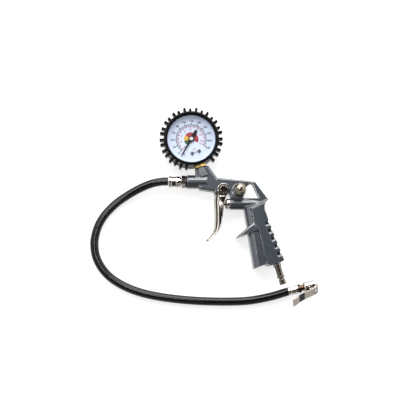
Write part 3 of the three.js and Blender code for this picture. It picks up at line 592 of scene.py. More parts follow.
HOSE_RADIUS = 5.0
HOSE_SIDES = 40
HOSE_ROUTE = [
    (-66.3, 17.8, 13), (-72.7, 17.8, 12.9), (-84.7, 15.7, 11.8), (-97.3, 11.1, 9.4), (-108.1, 5.6, 7.4),
    (-117.9, -0.4, 6), (-127.3, -7.2, 5.3), (-136, -15.5, 5), (-143.9, -25.2, 5), (-150.1, -37.1, 5),
    (-153.5, -50.7, 5), (-153.9, -58.5, 5), (-151.6, -72.5, 5), (-145.1, -85.5, 5), (-135.5, -96.4, 5),
    (-123.7, -104.7, 5), (-110.8, -111, 5), (-97.2, -115.7, 5), (-82.5, -119.2, 5), (-66.4, -121.8, 5),
    (-47.1, -124, 5), (-22.8, -125.6, 5), (11.3, -126, 5), (33.6, -124.7, 5.3), (58.1, -120.1, 6),
    (78.9, -114.1, 6.4),
]


def smooth_path(points, spacing):
    """Points along a centripetal Catmull-Rom curve, evenly spaced."""
    p = np.array(points, float)
    p = np.vstack([2 * p[0] - p[1], p, 2 * p[-1] - p[-2]])
    out = []
    for i in range(1, len(p) - 2):
        gaps = [np.linalg.norm(p[j + 1] - p[j]) ** 0.5 for j in range(i - 1, i + 2)]
        t = np.concatenate([[0], np.cumsum(gaps)])
        for u in np.linspace(t[1], t[2], 24, endpoint=i == len(p) - 3):
            q = p[i - 1:i + 3]
            a = [((t[k + 1] - u) * q[k] + (u - t[k]) * q[k + 1]) / (t[k + 1] - t[k]) for k in range(3)]
            b = [((t[k + 2] - u) * a[k] + (u - t[k]) * a[k + 1]) / (t[k + 2] - t[k]) for k in range(2)]
            out.append(((t[2] - u) * b[0] + (u - t[1]) * b[1]) / (t[2] - t[1]))
    out = np.array(out)
    length = np.concatenate([[0], np.cumsum(np.linalg.norm(np.diff(out, axis=0), axis=1))])
    count = int(round(length[-1] / spacing)) + 1
    even = np.linspace(0, length[-1], count)
    return np.stack([np.interp(even, length, out[:, k]) for k in range(3)], axis=1)


def make_hose():
    path = smooth_path(HOSE_ROUTE, 1.6)
    tangents = np.gradient(path, axis=0)
    tangents /= np.linalg.norm(tangents, axis=1)[:, None]
    angles = np.linspace(0, 2 * np.pi, HOSE_SIDES, endpoint=False)
    bm = bmesh.new()
    uv = bm.loops.layers.uv.new("along")
    rings = []
    for point, tangent in zip(path, tangents):
        side = np.cross(tangent, (0, 0, 1))
        side /= np.linalg.norm(side)
        up = np.cross(side, tangent)
        rings.append([
            bm.verts.new(point + HOSE_RADIUS * (math.cos(a) * side + math.sin(a) * up)) for a in angles
        ])
    distance = np.concatenate([[0], np.cumsum(np.linalg.norm(np.diff(path, axis=0), axis=1))]) * MM
    for i in range(len(rings) - 1):
        for k, face in enumerate(add_sides(bm, rings[i], rings[i + 1])):
            corners = ((i, k), (i, k + 1), (i + 1, k + 1), (i + 1, k))
            for loop, (row, column) in zip(face.loops, corners):
                loop[uv].uv = (distance[row], column / HOSE_SIDES)
    bm.faces.new(rings[0][::-1])
    bm.faces.new(rings[-1])
    hose = add_piece("air_hose", mesh_from(bm, "air_hose"), "hose", replaces=["hose"])
    return hose, [tuple(p * MM) for p in path[::2]]


hose, hose_path = make_hose()

# ------------ gun casting

# back edge of the grip with its notches, and the front edge of its raised panel
GRIP_EDGE = ((53.1, -36.7), (71.6, -85))
NOTCHES, NOTCH_PITCH, NOTCH_WIDTH, NOTCH_DEPTH = 5, 9.8, 4.2, 5.6
PANEL_FRONT = ((41.0, -50.2), (51.0, -89.4))
PANEL_HALF, RECESS_HALF = 13, 11


def add_wedge(bm, section, start, end, across):
    """A straight bar whose section is given as (distance across, height), from one point to another."""
    rings = [
        [bm.verts.new((point[0] + across[0] * u, point[1] + across[1] * u, z)) for u, z in section]
        for point in (start, end)
    ]
    bm.faces.new(rings[0])
    bm.faces.new(rings[1][::-1])
    add_sides(bm, *rings)


def cut_details(bm):
    """The sloping lip under each notch, and the groove where the raised panel meets the front of the grip."""
    start, end = (Vector(p) for p in GRIP_EDGE)
    down = (end - start).normalized()
    inward = Vector((down.y, -down.x))
    for k in range(NOTCHES):
        at = start + down * (3.4 + k * NOTCH_PITCH + NOTCH_WIDTH / 2)
        for side in (1, -1):
            lip = ((-1.2, PANEL_HALF - 1.6), (1.9, PANEL_HALF + 0.12), (-1.2, PANEL_HALF + 0.3))
            lip = [(u, side * z) for u, z in lip]
            add_wedge(bm, lip, at - inward * 1.5, at + inward * NOTCH_DEPTH, down)
    start, end = (Vector(p) for p in PANEL_FRONT)
    across = Vector((-(end - start).y, (end - start).x)).normalized()
    for side in (1, -1):
        groove = ((-0.2, RECESS_HALF - 1.6), (1.3, RECESS_HALF - 1.2), (1.5, 12), (-0.2, 12))
        add_wedge(bm, [(u, side * z) for u, z in groove], start, end, -across)


def make_casting():
    mesh = carved(frame["nodes"]["gun_body"].data.copy(), [cut_details], GUN)
    mesh = fused(mesh, voxel=0.0004, smoothing=4)
    return add_piece("gun_casting", mesh, "paint", replaces=["gun_body"])


make_casting()

# ------------ trigger

EAR_INNER, EAR_OUTER, EAR_RADIUS = 7.3, 8.8, 7.4
RIVET_RADIUS = 3.9
TRIGGER_WALL = 1.5
# height, nose, back and half width of the channel, from the ears down to the lip
TRIGGER_STATIONS = [
    (-7.2, -10.5, 3.3, 8.8), (-15, -11.2, 0.9, 8.8), (-28, -10.7, -0.7, 8.6), (-40, -10.6, -2.7, 8.2),
    (-47.5, -11.5, -4.7, 7.9), (-53, -13.6, -8.2, 7.6), (-57, -16.4, -12.2, 7.2), (-60, -19.4, -15.4, 6.8),
    (-62.2, -22.4, -18.6, 6.2),
]
# side of the nose: distance behind its front, and drop below the flank
TRIGGER_NOSE = [
    (0.04, 8.0), (0.15, 7.0), (0.4, 5.9), (0.8, 5.0), (1.3, 4.15), (1.8, 3.5), (2.7, 2.63), (3.6, 1.76),
    (4.3, 1.33), (5.0, 0.93), (5.3, 0.83), (5.5, 0.78),
]


def trigger_section(height, nose, back, half, inset):
    """A half-round nose with two straight sides, open towards the grip."""
    width, bulge = half - inset, min(5.5, 0.75 * (back - nose))
    scale = bulge / TRIGGER_NOSE[-1][0]
    half_outline = [
        (nose + max(x * scale, inset), max(width - drop * scale, 0.05 * (k + 1)))
        for k, (x, drop) in enumerate(TRIGGER_NOSE)
    ]
    drop = scale * TRIGGER_NOSE[-1][1]
    half_outline += [
        (nose + bulge + (back - nose - bulge) * u, width - drop * (1 - u)) for u in (0.25, 0.5, 0.75, 1)
    ]
    lower = [(x, height, -z) for x, z in reversed(half_outline)]
    return lower + [(nose + inset, height, 0)] + [(x, height, z) for x, z in half_outline]


def make_trigger():
    """A bent strip with two ears, lofted through its stations as an outer and an inner skin."""
    columns = np.array(TRIGGER_STATIONS)
    fine = np.linspace(columns[0, 0], columns[-1, 0], 70)
    order = np.argsort(columns[:, 0])
    smooth = [np.interp(fine, columns[order, 0], columns[order, k]) for k in range(1, 4)]
    kernel = np.ones(5) / 5
    smooth = [np.convolve(np.pad(v, 2, mode="edge"), kernel, mode="valid") for v in smooth]
    bm = bmesh.new()
    outer, inner = (
        [[bm.verts.new(p) for p in trigger_section(*station, inset)] for station in zip(fine, *smooth)]
        for inset in (0.0, TRIGGER_WALL)
    )
    last = len(outer[0]) - 1
    for i in range(len(outer) - 1):
        for k in range(last):
            bm.faces.new((outer[i][k], outer[i][k + 1], outer[i + 1][k + 1], outer[i + 1][k]))
            bm.faces.new((inner[i][k], inner[i + 1][k], inner[i + 1][k + 1], inner[i][k + 1]))
        for k in (0, last):
            bm.faces.new((outer[i][k], outer[i + 1][k], inner[i + 1][k], inner[i][k]))
    for i in (0, len(outer) - 1):
        for k in range(last):
            bm.faces.new((outer[i][k], inner[i][k], inner[i][k + 1], outer[i][k + 1]))
    for low in (EAR_INNER, -EAR_OUTER):
        high = low + EAR_OUTER - EAR_INNER
        add_lathe(bm, tube(2.4, EAR_RADIUS, low, high), sides=72)
        cheek = [(-7.2, 0), (-7, -7.4), (3.2, -7.4), (7.2, 0), (2.4, 0.2), (0, -2.4), (-2.4, 0.2)]
        add_prism(bm, cheek, low, high)
    mesh = fused(mesh_from(bm, "trigger_lever", GUN), voxel=0.00034, smoothing=5)
    return add_piece("trigger_lever", mesh, "trigger_nickel", "trigger", ["trigger"])


def make_rivet():
    """Dark headed pin in a bright ring: each head is a dish with a small raised middle."""
    ring = [(4.05, -0.3), (4.7, -0.3), (4.6, 0.1), (4.35, 0.22), (4.15, 0.1), (4.05, -0.3)]
    front, back = [(r, EAR_OUTER + h) for r, h in ring], [(r, -EAR_OUTER - h) for r, h in reversed(ring)]
    turned_piece(
        "trigger_rim", [(front, ORIGIN, UP), (back, ORIGIN, UP)], "trigger_nickel",
        body="trigger", round_by=0.05,
    )
    head = EAR_OUTER + 0.1
    dish = [(RIVET_RADIUS, 0), (RIVET_RADIUS, 0.8), (3.3, 1.1), (2.3, 0.5), (1.9, 0.5), (1.3, 0.9), (0, 0.95)]
    profile = [(r, -head - s) for r, s in reversed(dish)] + [(2, -head), (2, head)]
    profile += [(r, head + s) for r, s in dish]
    turned_piece(
        "trigger_rivet", [(profile, ORIGIN, UP)], "black_metal",
        replaces=["trigger_pivot_rivet"],
    )


make_trigger()
make_rivet()

# ------------ valve and bleed button

VALVE_Y = -16.9
BLEED_AT = (18.8, -1.0)
BLEED_FACE = 7.8


def make_valve_parts():
    nut = [(2.3, 0), (4.4, 0), (6.3, 1.6), (6.3, 5.4), (4.4, 5.4), (4.4, 10.8), (2.3, 10.8), (2.3, 0)]
    start = (2.6, VALVE_Y, 0)
    turned_piece("gland_nut", [(nut, start, ALONG)], "chrome", replaces=["valve_gland_nut"], round_by=0.6)


def make_bleed_parts():
    at = (*BLEED_AT, 0)
    dome = [(0, 17.4), (7.1, 17.4), (7.1, 18.1), (6.7, 18.4)]
    arc = [math.pi / 2 * k / 14 for k in range(1, 14)]
    dome += [(6.6 * math.cos(a), 18.5 + 5.4 * math.sin(a)) for a in arc]
    dome.append((0, 23.9))
    pin = [(0, 0.4), (1.4, 0.4), (1.4, 17.8), (0, 17.8)]
    turned_piece(
        "bleed_dome", [(dome, at, UP), (pin, at, UP)], "warm_chrome", body="bleed",
        replaces=["bleed_button"], round_by=0.3,
    )
    low = BLEED_FACE + 0.3
    collar = [(4.5, 11.4), (4.5, 15.2), (6.2, 15.2), (6.2, low), (3.3, low), (3.3, 2.6)]
    collar += [(1.8, 2.6), (1.8, 11.4)]
    turned_piece(
        "bleed_neck", [(collar + collar[:1], at, UP)], "black_plastic",
        replaces=["bleed_collar"],
    )


make_valve_parts()
make_bleed_parts()

# ------------ hose end and air plug

BARREL_Y = 9.9
FERRULE_SIDES = 12
PLUG_AT, PLUG_LEAN = (64.6, -88.8, 0), 17 * DEG


def make_outlet():
    washer = (tube(6.1, 7.3, 0, 1.9), (-46, BARREL_Y, 0), ALONG)
    turned_piece("outlet_ring", [washer], "rubber", replaces=["outlet_washer"], round_by=0.4)


def make_crimp(name, profile, start, matrix, replaces):
    """A sleeve pressed by a crimping tool: its middle is faceted and its ends stay round."""
    bm = bmesh.new()
    add_lathe(bm, filleted(profile, 0.35), start, ALONG, 96)
    along = Vector(ALONG)
    low, high = min(p[1] for p in profile), max(p[1] for p in profile)
    step = 2 * math.pi / FERRULE_SIDES
    for vert in bm.verts:
        offset = vert.co - Vector(start)
        s = offset.dot(along)
        radial = offset - along * s
        share = min(1, max(0, min(s - low - 1.5, high - 3 - s) / 1.5))
        if radial.length < 4 or share <= 0:
            continue
        axis = along.orthogonal().normalized()
        angle = math.atan2(along.cross(axis).dot(radial), axis.dot(radial))
        facet = (angle + step / 2) % step - step / 2
        flat = math.cos(step / 2) / math.cos(facet)
        vert.co = Vector(start) + along * s + radial * (1 + (flat - 1) * share)
    return add_piece(name, mesh_from(bm, name, matrix, crease=20), "chrome", replaces=replaces)


def make_plug():
    away = (math.sin(PLUG_LEAN), -math.cos(PLUG_LEAN), 0)
    profile = [
        (2.2, -8), (4.8, -8), (4.8, 3.4), (4.4, 3.8), (3.9, 4.2), (3.9, 15.4), (4.7, 15.8), (4.7, 17.2),
        (3.1, 17.8), (3.1, 19.6), (3.9, 20), (3.9, 25), (3.3, 25.8), (2.2, 25.8), (2.2, -8),
    ]
    turned_piece("air_plug", [(profile, PLUG_AT, away)], "nickel", replaces=["quick_connect_plug"])


make_outlet()
make_crimp(
    "hose_ferrule",
    [(3.2, 0), (6.3, 0), (6.6, 0.5), (6.6, 3.2), (6.1, 3.9), (6.1, 8.9), (6.6, 9.6), (6.6, 13.4), (5.4, 14.2),
     (5.4, 15.4), (3.2, 15.4), (3.2, 0)],
    (-66.4, BARREL_Y, 0), GUN, ["outlet_ferrule"],
)
make_plug()

# ------------ gauge boot and case

BOOT_RADIUS, BOOT_BACK, BOOT_FRONT = 33.3, -13.0, 15.5
OPENING_RADIUS = 30.0
LUGS, LUG_TIP, LUG_WIDTH, LUG_LENGTH = 32, 38.5, 3.0, 10.8
STEM_CLEAR, STEM_HOLE = 18 * DEG, 8.4


def make_boot():
    """A cup round the gauge with lugs set by turns nearer its front and its back, and none at the stem."""
    bm = bmesh.new()
    profile = [
        (12, BOOT_BACK), (31.6, BOOT_BACK), (BOOT_RADIUS, BOOT_BACK + 1.6), (BOOT_RADIUS, BOOT_FRONT - 1.4),
        (32, BOOT_FRONT), (OPENING_RADIUS + 0.5, BOOT_FRONT), (OPENING_RADIUS, BOOT_FRONT - 0.7),
        (OPENING_RADIUS, 13.7), (31.3, 13.7), (31.3, BOOT_BACK + 1.3), (12, BOOT_BACK + 1.3), (12, BOOT_BACK),
    ]
    add_lathe(bm, filleted(profile, 0.7), sides=192)
    reach = LUG_TIP - BOOT_RADIUS + 0.8
    section = filleted(rectangle(0, 0, LUG_WIDTH, LUG_LENGTH), 1.15, 5, closed=True)
    stand = Matrix(((0, 0, 1, 0), (1, 0, 0, 0), (0, 1, 0, 0), (0, 0, 0, 1)))
    for i in range(LUGS):
        angle = 2 * math.pi * (i + 0.5) / LUGS
        if abs(math.atan2(math.cos(angle), -math.sin(angle))) < STEM_CLEAR:
            continue
        lug = bmesh.new()
        add_prism(lug, section, -reach / 2, reach / 2, 0.7)
        middle = (2.5 if i % 2 else -2.5) + LUG_LENGTH / 2
        place = Matrix.Translation((LUG_TIP - reach / 2, 0, middle))
        lug.transform(Matrix.Rotation(angle, 4, "Z") @ place @ stand)
        add_mesh(bm, lug)
    mesh = fused(mesh_from(bm, "rubber_boot", DIAL), voxel=0.00042, smoothing=2)
    cut_stem_hole(mesh)
    return add_piece("rubber_boot", mesh, "boot", replaces=["gauge_boot"])


def cut_stem_hole(mesh):
    """Opens the boot round the gauge stem."""
    bm = bmesh.new()
    bm.from_mesh(mesh)
    inverse = DIAL.inverted()
    places = [(vert, inverse @ vert.co) for vert in bm.verts]
    doomed = [vert for vert, p in places if p.y < -20 and math.hypot(p.x, p.z) < STEM_HOLE]
    bmesh.ops.delete(bm, geom=doomed, context="VERTS")
    bmesh.ops.holes_fill(bm, edges=[e for e in bm.edges if e.is_boundary], sides=0)
    bm.to_mesh(mesh)
    bm.free()


make_boot()

# ------------ dial

DIAL_TOP = 6.0
INK = 0.08
PSI_ZERO, PSI_STEP, PSI_MAX = -120.8 * DEG, 23.3 * DEG / 20, 220
BAR_STEP = 16.9 * DEG
PSI_ARC, PSI_MAJOR, PSI_NUMBERS = 18.0, 20.6, 22.9
BAR_ARC, BAR_NUMBERS = 16.7, 12.3
ZONE_OUTER, ZONE_INNER = 8.9, 3.2
STEM_TURN = -math.atan2(STEM_DOWN.x, -STEM_DOWN.y)
ZONES = (("zone_green", -120.8, -84), ("zone_yellow", -84, -34), ("zone_red", -34, 135.5))


def clockwise(radius, angle):
    """A point at a clockwise angle from the dial's up direction."""
    return radius * math.sin(angle), radius * math.cos(angle)


def add_arc(bm, inner, outer, start, end):
    """A printed band between two radii and two clockwise angles."""
    steps = max(2, int(abs(end - start) / (2 * DEG)))
    angles = [start + (end - start) * k / steps for k in range(steps + 1)]
    outline = [clockwise(outer, a) for a in angles] + [clockwise(inner, a) for a in reversed(angles)]
    count = len(outline)
    bottom, top = ([bm.verts.new((x, y, z)) for x, y in outline] for z in (DIAL_TOP, DIAL_TOP + INK))
    for k in range(count // 2 - 1):
        quad = [k, k + 1, count - 2 - k, count - 1 - k]
        bm.faces.new([top[j] for j in quad])
        bm.faces.new([bottom[j] for j in reversed(quad)])
    add_sides(bm, bottom, top)


def add_tick(bm, inner, outer, angle, width):
    along = Vector(clockwise(1, angle))
    across = Vector((along.y, -along.x)) * (width / 2)
    corners = (along * inner - across, along * inner + across, along * outer + across, along * outer - across)
    add_prism(bm, [tuple(c) for c in corners], DIAL_TOP, DIAL_TOP + INK)


def lettering(bm, text, size, at, turn):
    """Flat characters of Blender's own font, added as thin solids."""
    curve = bpy.data.curves.new("lettering", "FONT")
    curve.body, curve.size = text, size
    curve.align_x, curve.align_y = "CENTER", "CENTER"
    curve.extrude = INK / 2
    curve.offset = size * 0.022
    curve.resolution_u = 3
    holder = new_object("lettering", curve)
    mesh = baked(holder)
    mesh.transform(Matrix.Translation((*at, DIAL_TOP + INK / 2)) @ Matrix.Rotation(turn, 4, "Z"))
    bm.from_mesh(mesh)
    bpy.data.meshes.remove(mesh)
    bpy.data.objects.remove(holder)
    bpy.data.curves.remove(curve)


def make_scales():
    """The psi scale in black outside, the bar scale in red inside it, and the coloured sector."""
    black, red = bmesh.new(), bmesh.new()
    psi = lambda value: PSI_ZERO + value * PSI_STEP
    bar = lambda value: PSI_ZERO + value * BAR_STEP
    add_arc(black, PSI_ARC - 0.28, PSI_ARC + 0.28, psi(0), psi(PSI_MAX))
    for value in range(0, PSI_MAX + 1, 5):
        major, middle = value % 20 == 0, value % 10 == 0
        outer = PSI_MAJOR if major else PSI_ARC + (1.3 if middle else 0.9)
        add_tick(black, PSI_ARC - 0.1, outer, psi(value), 0.95 if major else 0.5)
        if major:
            lettering(black, str(value), 3.5, clockwise(PSI_NUMBERS, psi(value)), STEM_TURN)
    add_arc(red, BAR_ARC - 0.22, BAR_ARC + 0.22, bar(0), bar(15))
    for half in range(0, 31):
        whole = half % 2 == 0
        add_tick(red, BAR_ARC - (2.0 if whole else 1.2), BAR_ARC, bar(half / 2), 1.15 if whole else 0.6)
    for value in (0, 2, 4, 6, 8, 10, 12, 14, 15):
        lettering(red, str(value), 3.4, clockwise(BAR_NUMBERS, bar(value)), STEM_TURN)
    lettering(red, "bar", 2.6, (-0.2, -12.6), 0)
    lettering(black, "psi", 2.6, (0.2, -16.6), 0)
    add_piece("scale_black", mesh_from(black, "scale_black", DIAL), "ink_black")
    add_piece("scale_red", mesh_from(red, "scale_red", DIAL), "ink_red")
    for look, start, end in ZONES:
        zone = bmesh.new()
        add_arc(zone, ZONE_INNER, ZONE_OUTER, start * DEG, end * DEG)
        add_piece("dial_" + look, mesh_from(zone, look, DIAL), look)


def make_dial():
    for name, profile, look, node, round_by in (
        ("dial_face", tube(1.6, 29.6, 5.4, DIAL_TOP), "dial_white", "dial_plate", 0.1),
        ("dial_wall", tube(29.1, 29.9, 6.3, 9.6), "dial_white", "dial_spacer_ring", 0.2),
        ("bezel", tube(29.6, 30.9, 13, 13.5), "black_metal", "bezel_ring", 0.15),
        ("window", [(0, 10.8), (29.8, 10.8), (29.8, 12.3), (0, 12.3)], "clear_lens", "gauge_lens", 0.4),
    ):
        turned_piece(
            name, [(profile, ORIGIN, UP)], look, DIAL, replaces=[node], round_by=round_by, sides=160,
        )
    cap = [(0, 9), (2.4, 9), (2.3, 9.6), (1.5, 10.1), (0, 10.2)]
    turned_piece(
        "needle_cap", [(cap, ORIGIN, UP)], "cream", DIAL, body="pointer",
        replaces=["pointer_cap"], round_by=0.4, sides=48,
    )


NEEDLE_REST = 131 * DEG
NEEDLE_TIP, NEEDLE_TAIL = 24.6, 12.8
SCREWS = (("dial_screw_left", -4.4), ("dial_screw_right", 4.4))
SCREW_Y = -16.9


def make_needle():
    """Stamped needle with a heavy tail, pressed on a hub."""
    right = [
        (0, NEEDLE_TIP), (0.42, NEEDLE_TIP - 1.2), (0.85, 14), (1.25, 0), (1.8, -3),
        (1.85, -NEEDLE_TAIL + 1.4), (1.3, -NEEDLE_TAIL + 0.3), (0, -NEEDLE_TAIL),
    ]
    outline = right + [(-x, y) for x, y in reversed(right[1:-1])]
    bm = bmesh.new()
    add_prism(bm, outline[::-1], 7.2, 7.9, 0.12)
    add_lathe(bm, filleted([(1, 7), (3.5, 7), (3.5, 8.4), (3.1, 8.7), (1, 8.7), (1, 7)], 0.2), sides=72)
    bm.transform(Matrix.Rotation(NEEDLE_REST, 4, "Z"))
    mesh = mesh_from(bm, "needle", DIAL)
    weighted(add_piece("needle", mesh, "needle_black", "pointer", ["pointer"]))


def make_screws():
    """Cheese-head screws with a slot."""
    head = [(0, 6.3), (2.1, 6.3), (2.1, 7.0), (1.8, 7.3), (1.0, 7.4), (0, 7.4)]
    for name, x in SCREWS:
        bm = bmesh.new()
        add_lathe(bm, head, (x, SCREW_Y, 0), sides=40)
        add_lathe(bm, [(0, 5), (0.6, 5), (0.6, 6.4), (0, 6.4)], (x, SCREW_Y, 0), sides=24)

        def slot(tool, x=x):
            add_prism(tool, rectangle(0, 0, 4.8, 0.6), 6.9, 8)
            tool.transform(Matrix.Translation((x, SCREW_Y, 0)) @ Matrix.Rotation(0.5 + x * 0.2, 4, "Z"))

        mesh = carved(mesh_from(bm, name, DIAL), [slot], DIAL)
        add_piece(name + "_slotted", mesh, "screw_black", "gun", [name])


make_dial()
make_scales()
make_needle()
make_screws()

# ------------ chuck

LEVER_HALF = 6.1
CHUCK_BODY_START = 20.0


def make_chuck_sleeve():
    ferrule = [
        (3.1, 0), (5, 0), (5.2, 0.5), (5.2, 3), (4.8, 3.5), (4.8, 9), (5.2, 9.6), (5.2, 12.4), (4.4, 12.9),
        (3.1, 12.9), (3.1, 0),
    ]
    make_crimp("chuck_sleeve", ferrule, ORIGIN, CHUCK, ["chuck_ferrule"])


def make_chuck_stem():
    bm = bmesh.new()
    for profile in (tube(1.3, 2.8, 1, 14), tube(1.3, 3.6, 15.5, 19.7)):
        add_lathe(bm, profile, direction=ALONG, sides=48)
    nut = bmesh.new()
    corners = [(5.77 * math.cos(a), 5.77 * math.sin(a)) for a in (math.pi / 3 * (k + 0.5) for k in range(6))]
    add_prism(nut, corners, 13.3, 15.9, 0.35)
    nut.transform(Matrix.Rotation(math.pi / 2, 4, "Y"))
    add_mesh(bm, nut)
    weighted(add_piece("chuck_neck", mesh_from(bm, "chuck_neck", CHUCK), "bronze", replaces=["chuck_stem"]))


def make_chuck_body():
    """The barrel with the lug that carries the lever, and a window where the jaw reaches the tyre valve."""
    bm = bmesh.new()
    profile = [(1.3, 0), (5, 0), (6, 1.2), (6, 13.2), (5.3, 14), (4.3, 14), (4.3, 4.6), (1.3, 4.6), (1.3, 0)]
    add_lathe(bm, filleted(profile, 0.3), (CHUCK_BODY_START, 0, 0), ALONG, 72)
    px, py = LEVER_PIVOT
    lug = bmesh.new()
    add_prism(lug, rectangle(px, py - 2.3, 4.6, 5.4), -2.8, 2.8, 0.6)
    add_mesh(bm, lug)
    window = lambda tool: add_box(tool, (3.4, 4, 10.2), (33.4, 5.6, 0))
    mesh = carved(mesh_from(bm, "chuck_shell", CHUCK), [window], CHUCK)
    weighted(add_piece("chuck_shell", mesh, "chrome", replaces=["chuck_body"]))


def make_lever():
    """Stamped strip: the jaw at the chuck's mouth, the hinge over the lug and the thumb tail."""
    px, py = LEVER_PIVOT
    outline = [
        (6.6, -5.2), (7.6, -5), (7.8, -0.6), (5, 1), (0, 2.2), (-9, 4.2), (-18, 7), (-22, 9.4), (-27.4, 11.2),
        (-27.8, 10), (-22.6, 8), (-18.4, 5.6), (-9.4, 2.8), (-2.4, 1), (-1.6, -1.6), (1.6, -1.6), (2.4, 0.2),
        (4.8, -0.6), (6.2, -1.6),
    ]
    bm = bmesh.new()
    rounded = filleted([(px + x, py + y) for x, y in outline], 0.5, 3, closed=True)
    add_prism(bm, rounded, -LEVER_HALF, LEVER_HALF, 0.3)
    gap = lambda tool: add_box(tool, (10, 6, 6.4), (px, py - 1.6, 0))
    hole = lambda tool: add_lathe(tool, [(0, -8), (1.15, -8), (1.15, 8), (0, 8)], (px, py, 0), sides=32)
    mesh = carved(mesh_from(bm, "clip_lever", CHUCK), [gap, hole], CHUCK)
    weighted(add_piece("clip_lever", mesh, "lever_steel", "chuck_lever", ["chuck_lever"]))


make_chuck_sleeve()
make_chuck_stem()
make_chuck_body()
make_lever()

# ------------ carried-over CAD nodes

NODE_LOOKS = {
    "rubber": "gland_o_ring valve_poppet_seal bleed_seal stem_seal_washer lens_gasket chuck_seal",
    "brass": "valve_seat gauge_socket bourdon_tube tube_tip movement_lower_plate movement_upper_plate "
             "sector_gear chuck_depressor movement_pillar_1 movement_pillar_2 movement_pillar_3",
    "steel": "tube_link pointer_shaft chuck_lever_pin",
    "nickel": "valve_stem outlet_nipple",
    "bronze": "hairspring",
    "black_metal": "gauge_case",
    "needle_black": "stop_pin",
}
BEVELLED = {"outlet_nipple": 0.3, "gauge_socket": 0.35, "gauge_case": 0.4}


def dress_nodes():
    """Materials for the CAD nodes shown as they are, and softer edges on the few that are seen."""
    for look, names in NODE_LOOKS.items():
        for name in names.split():
            node = frame["nodes"][name]
            node.data.materials.clear()
            node.data.materials.append(LOOKS[look])
            if name in BEVELLED:
                bevel = node.modifiers.new("bevel", "BEVEL")
                bevel.width, bevel.segments = BEVELLED[name] * MM, 3
                bevel.limit_method, bevel.angle_limit = "ANGLE", 38 * DEG
                bevel.harden_normals = False
                weighted(node)


def make_springs():
    """Each coil spring as a steel copy of its CAD mesh with a mesh of its own; it keeps its shape when the
    piece it pushes comes in.
    """
    coils = (
        ("valve_return_spring", "valve_coil", "trigger_pull", GUN, ALONG, (34.8, VALVE_Y, 0), 3.5),
        ("bleed_spring", "bleed_coil", "bleed_press", GUN, UP, (*BLEED_AT, 11.9), 2.1),
        ("chuck_spring", "chuck_coil", "chuck_lever_press", CHUCK, (0.1, 1, 0), (19.6, 6.6, 0), 2.0),
    )
    for node, name, joint, matrix, axis, anchor, travel in coils:
        axis, anchor = (matrix.to_3x3() @ Vector(axis)).normalized(), matrix @ Vector(anchor)
        mesh = frame["nodes"][node].data.copy()
        spring = add_piece(name, mesh, "steel", replaces=[node])
        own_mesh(spring)


dress_nodes()
make_springs()
ON_HOSE = ("chuck_sleeve", "chuck_neck", "chuck_shell", "clip_lever", "chuck_coil")
on_hose = [bpy.data.objects[n] for n in ON_HOSE]
on_hose += [frame["nodes"][n] for n in ("chuck_seal", "chuck_depressor", "chuck_lever_pin")]

# ------------ stage and light

FLOOR_HALF = 6.0
FLOOR_GLOW = 0.72
FLOOR_FADE = (0.45, 1.6)  # metres from the middle, from pale to grey


def make_stage():
    """A pale table with a glow of its own near the middle, large enough to fill every view."""
    mesh = bpy.data.meshes.new("floor")
    corners = [(x, y, 0) for x, y in rectangle(0, 0, 2 * FLOOR_HALF, 2 * FLOOR_HALF)]
    mesh.from_pydata(corners, [], [(0, 1, 2, 3)])
    floor = new_object("floor", mesh)
    floor.location.z = -0.0004
    s = Shader("floor", Roughness=0.75, Specular_IOR_Level=0.2)
    s.bsdf.inputs["Emission Color"].default_value = (1, 1, 1, 1)
    node = s.nodes.new("ShaderNodeVectorMath")
    node.operation = "LENGTH"
    s.link(s.coords, node.inputs[0])
    distance = node.outputs["Value"]
    far = s.ramp(distance, *FLOOR_FADE, 0, 1)
    s.colour(s.mix(far, (0.45, 0.45, 0.45), (0.40, 0.40, 0.40)))
    s.link(s.ramp(distance, *FLOOR_FADE, FLOOR_GLOW, 0.05), s.bsdf.inputs["Emission Strength"])
    mesh.materials.append(s.material)


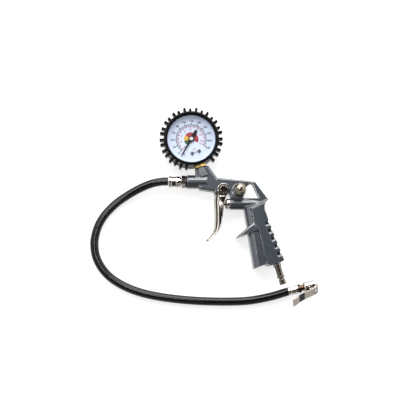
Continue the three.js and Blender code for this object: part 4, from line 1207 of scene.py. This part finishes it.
def area_light(name, at, size, power):
    """A rectangular light aimed at the middle of the row."""
    data = bpy.data.lights.new(name, "AREA")
    data.shape, data.size, data.size_y = "RECTANGLE", size[0], size[1]
    data.energy = power
    light = new_object(name, data)
    light.location = at
    light.rotation_mode = "QUATERNION"
    light.rotation_quaternion = Vector(at).to_track_quat("Z", "Y")


# sky: colour against the height of the direction, then its strength towards the top of the picture
SKY = (
    (0.00, (0.02, 0.02, 0.02)), (0.22, (0.03, 0.03, 0.03)), (0.32, (1.0, 0.98, 0.96)),
    (0.60, (1.0, 0.98, 0.96)), (0.82, (0.10, 0.088, 0.078)), (1.00, (0.045, 0.041, 0.038)),
)
SKY_STRENGTH = (-0.5, 0.5, 0.6, 1.65)
LIGHTS = (
    ("key", (-0.25, 0.75, 1.05), (1.3, 0.6), 13),
    ("edge", (0.1, 1.3, 0.55), (1.6, 0.25), 9),
    ("top", (-0.15, 0.05, 1.1), (0.2, 0.1), 2.0),
)


def make_light():
    """A soft studio: a bright band all round, stronger towards the top of the picture, and a dark ceiling."""
    world = bpy.data.worlds.new("studio")
    bpy.context.scene.world = world
    world.use_nodes = True
    nodes, links = world.node_tree.nodes, world.node_tree.links
    coords = nodes.new("ShaderNodeTexCoord")
    split = nodes.new("ShaderNodeSeparateXYZ")
    links.new(coords.outputs["Generated"], split.inputs["Vector"])
    ramp = nodes.new("ShaderNodeValToRGB")
    stops = ramp.color_ramp.elements
    while len(stops) < len(SKY):
        stops.new(0.5)
    for stop, (height, colour) in zip(stops, SKY):
        stop.position, stop.color = height, (*colour, 1)
    links.new(split.outputs["Z"], ramp.inputs["Fac"])
    links.new(ramp.outputs["Color"], nodes["Background"].inputs["Color"])
    share = nodes.new("ShaderNodeMapRange")
    share.interpolation_type = "SMOOTHSTEP"
    for socket, value in zip(RANGE, SKY_STRENGTH):
        share.inputs[socket].default_value = value
    links.new(split.outputs["Y"], share.inputs["Value"])
    links.new(share.outputs["Result"], nodes["Background"].inputs["Strength"])
    for light in LIGHTS:
        area_light(*light)
    view = bpy.context.scene.view_settings
    view.view_transform, view.look, view.exposure = "Standard", "None", 0.0


make_stage()
make_light()
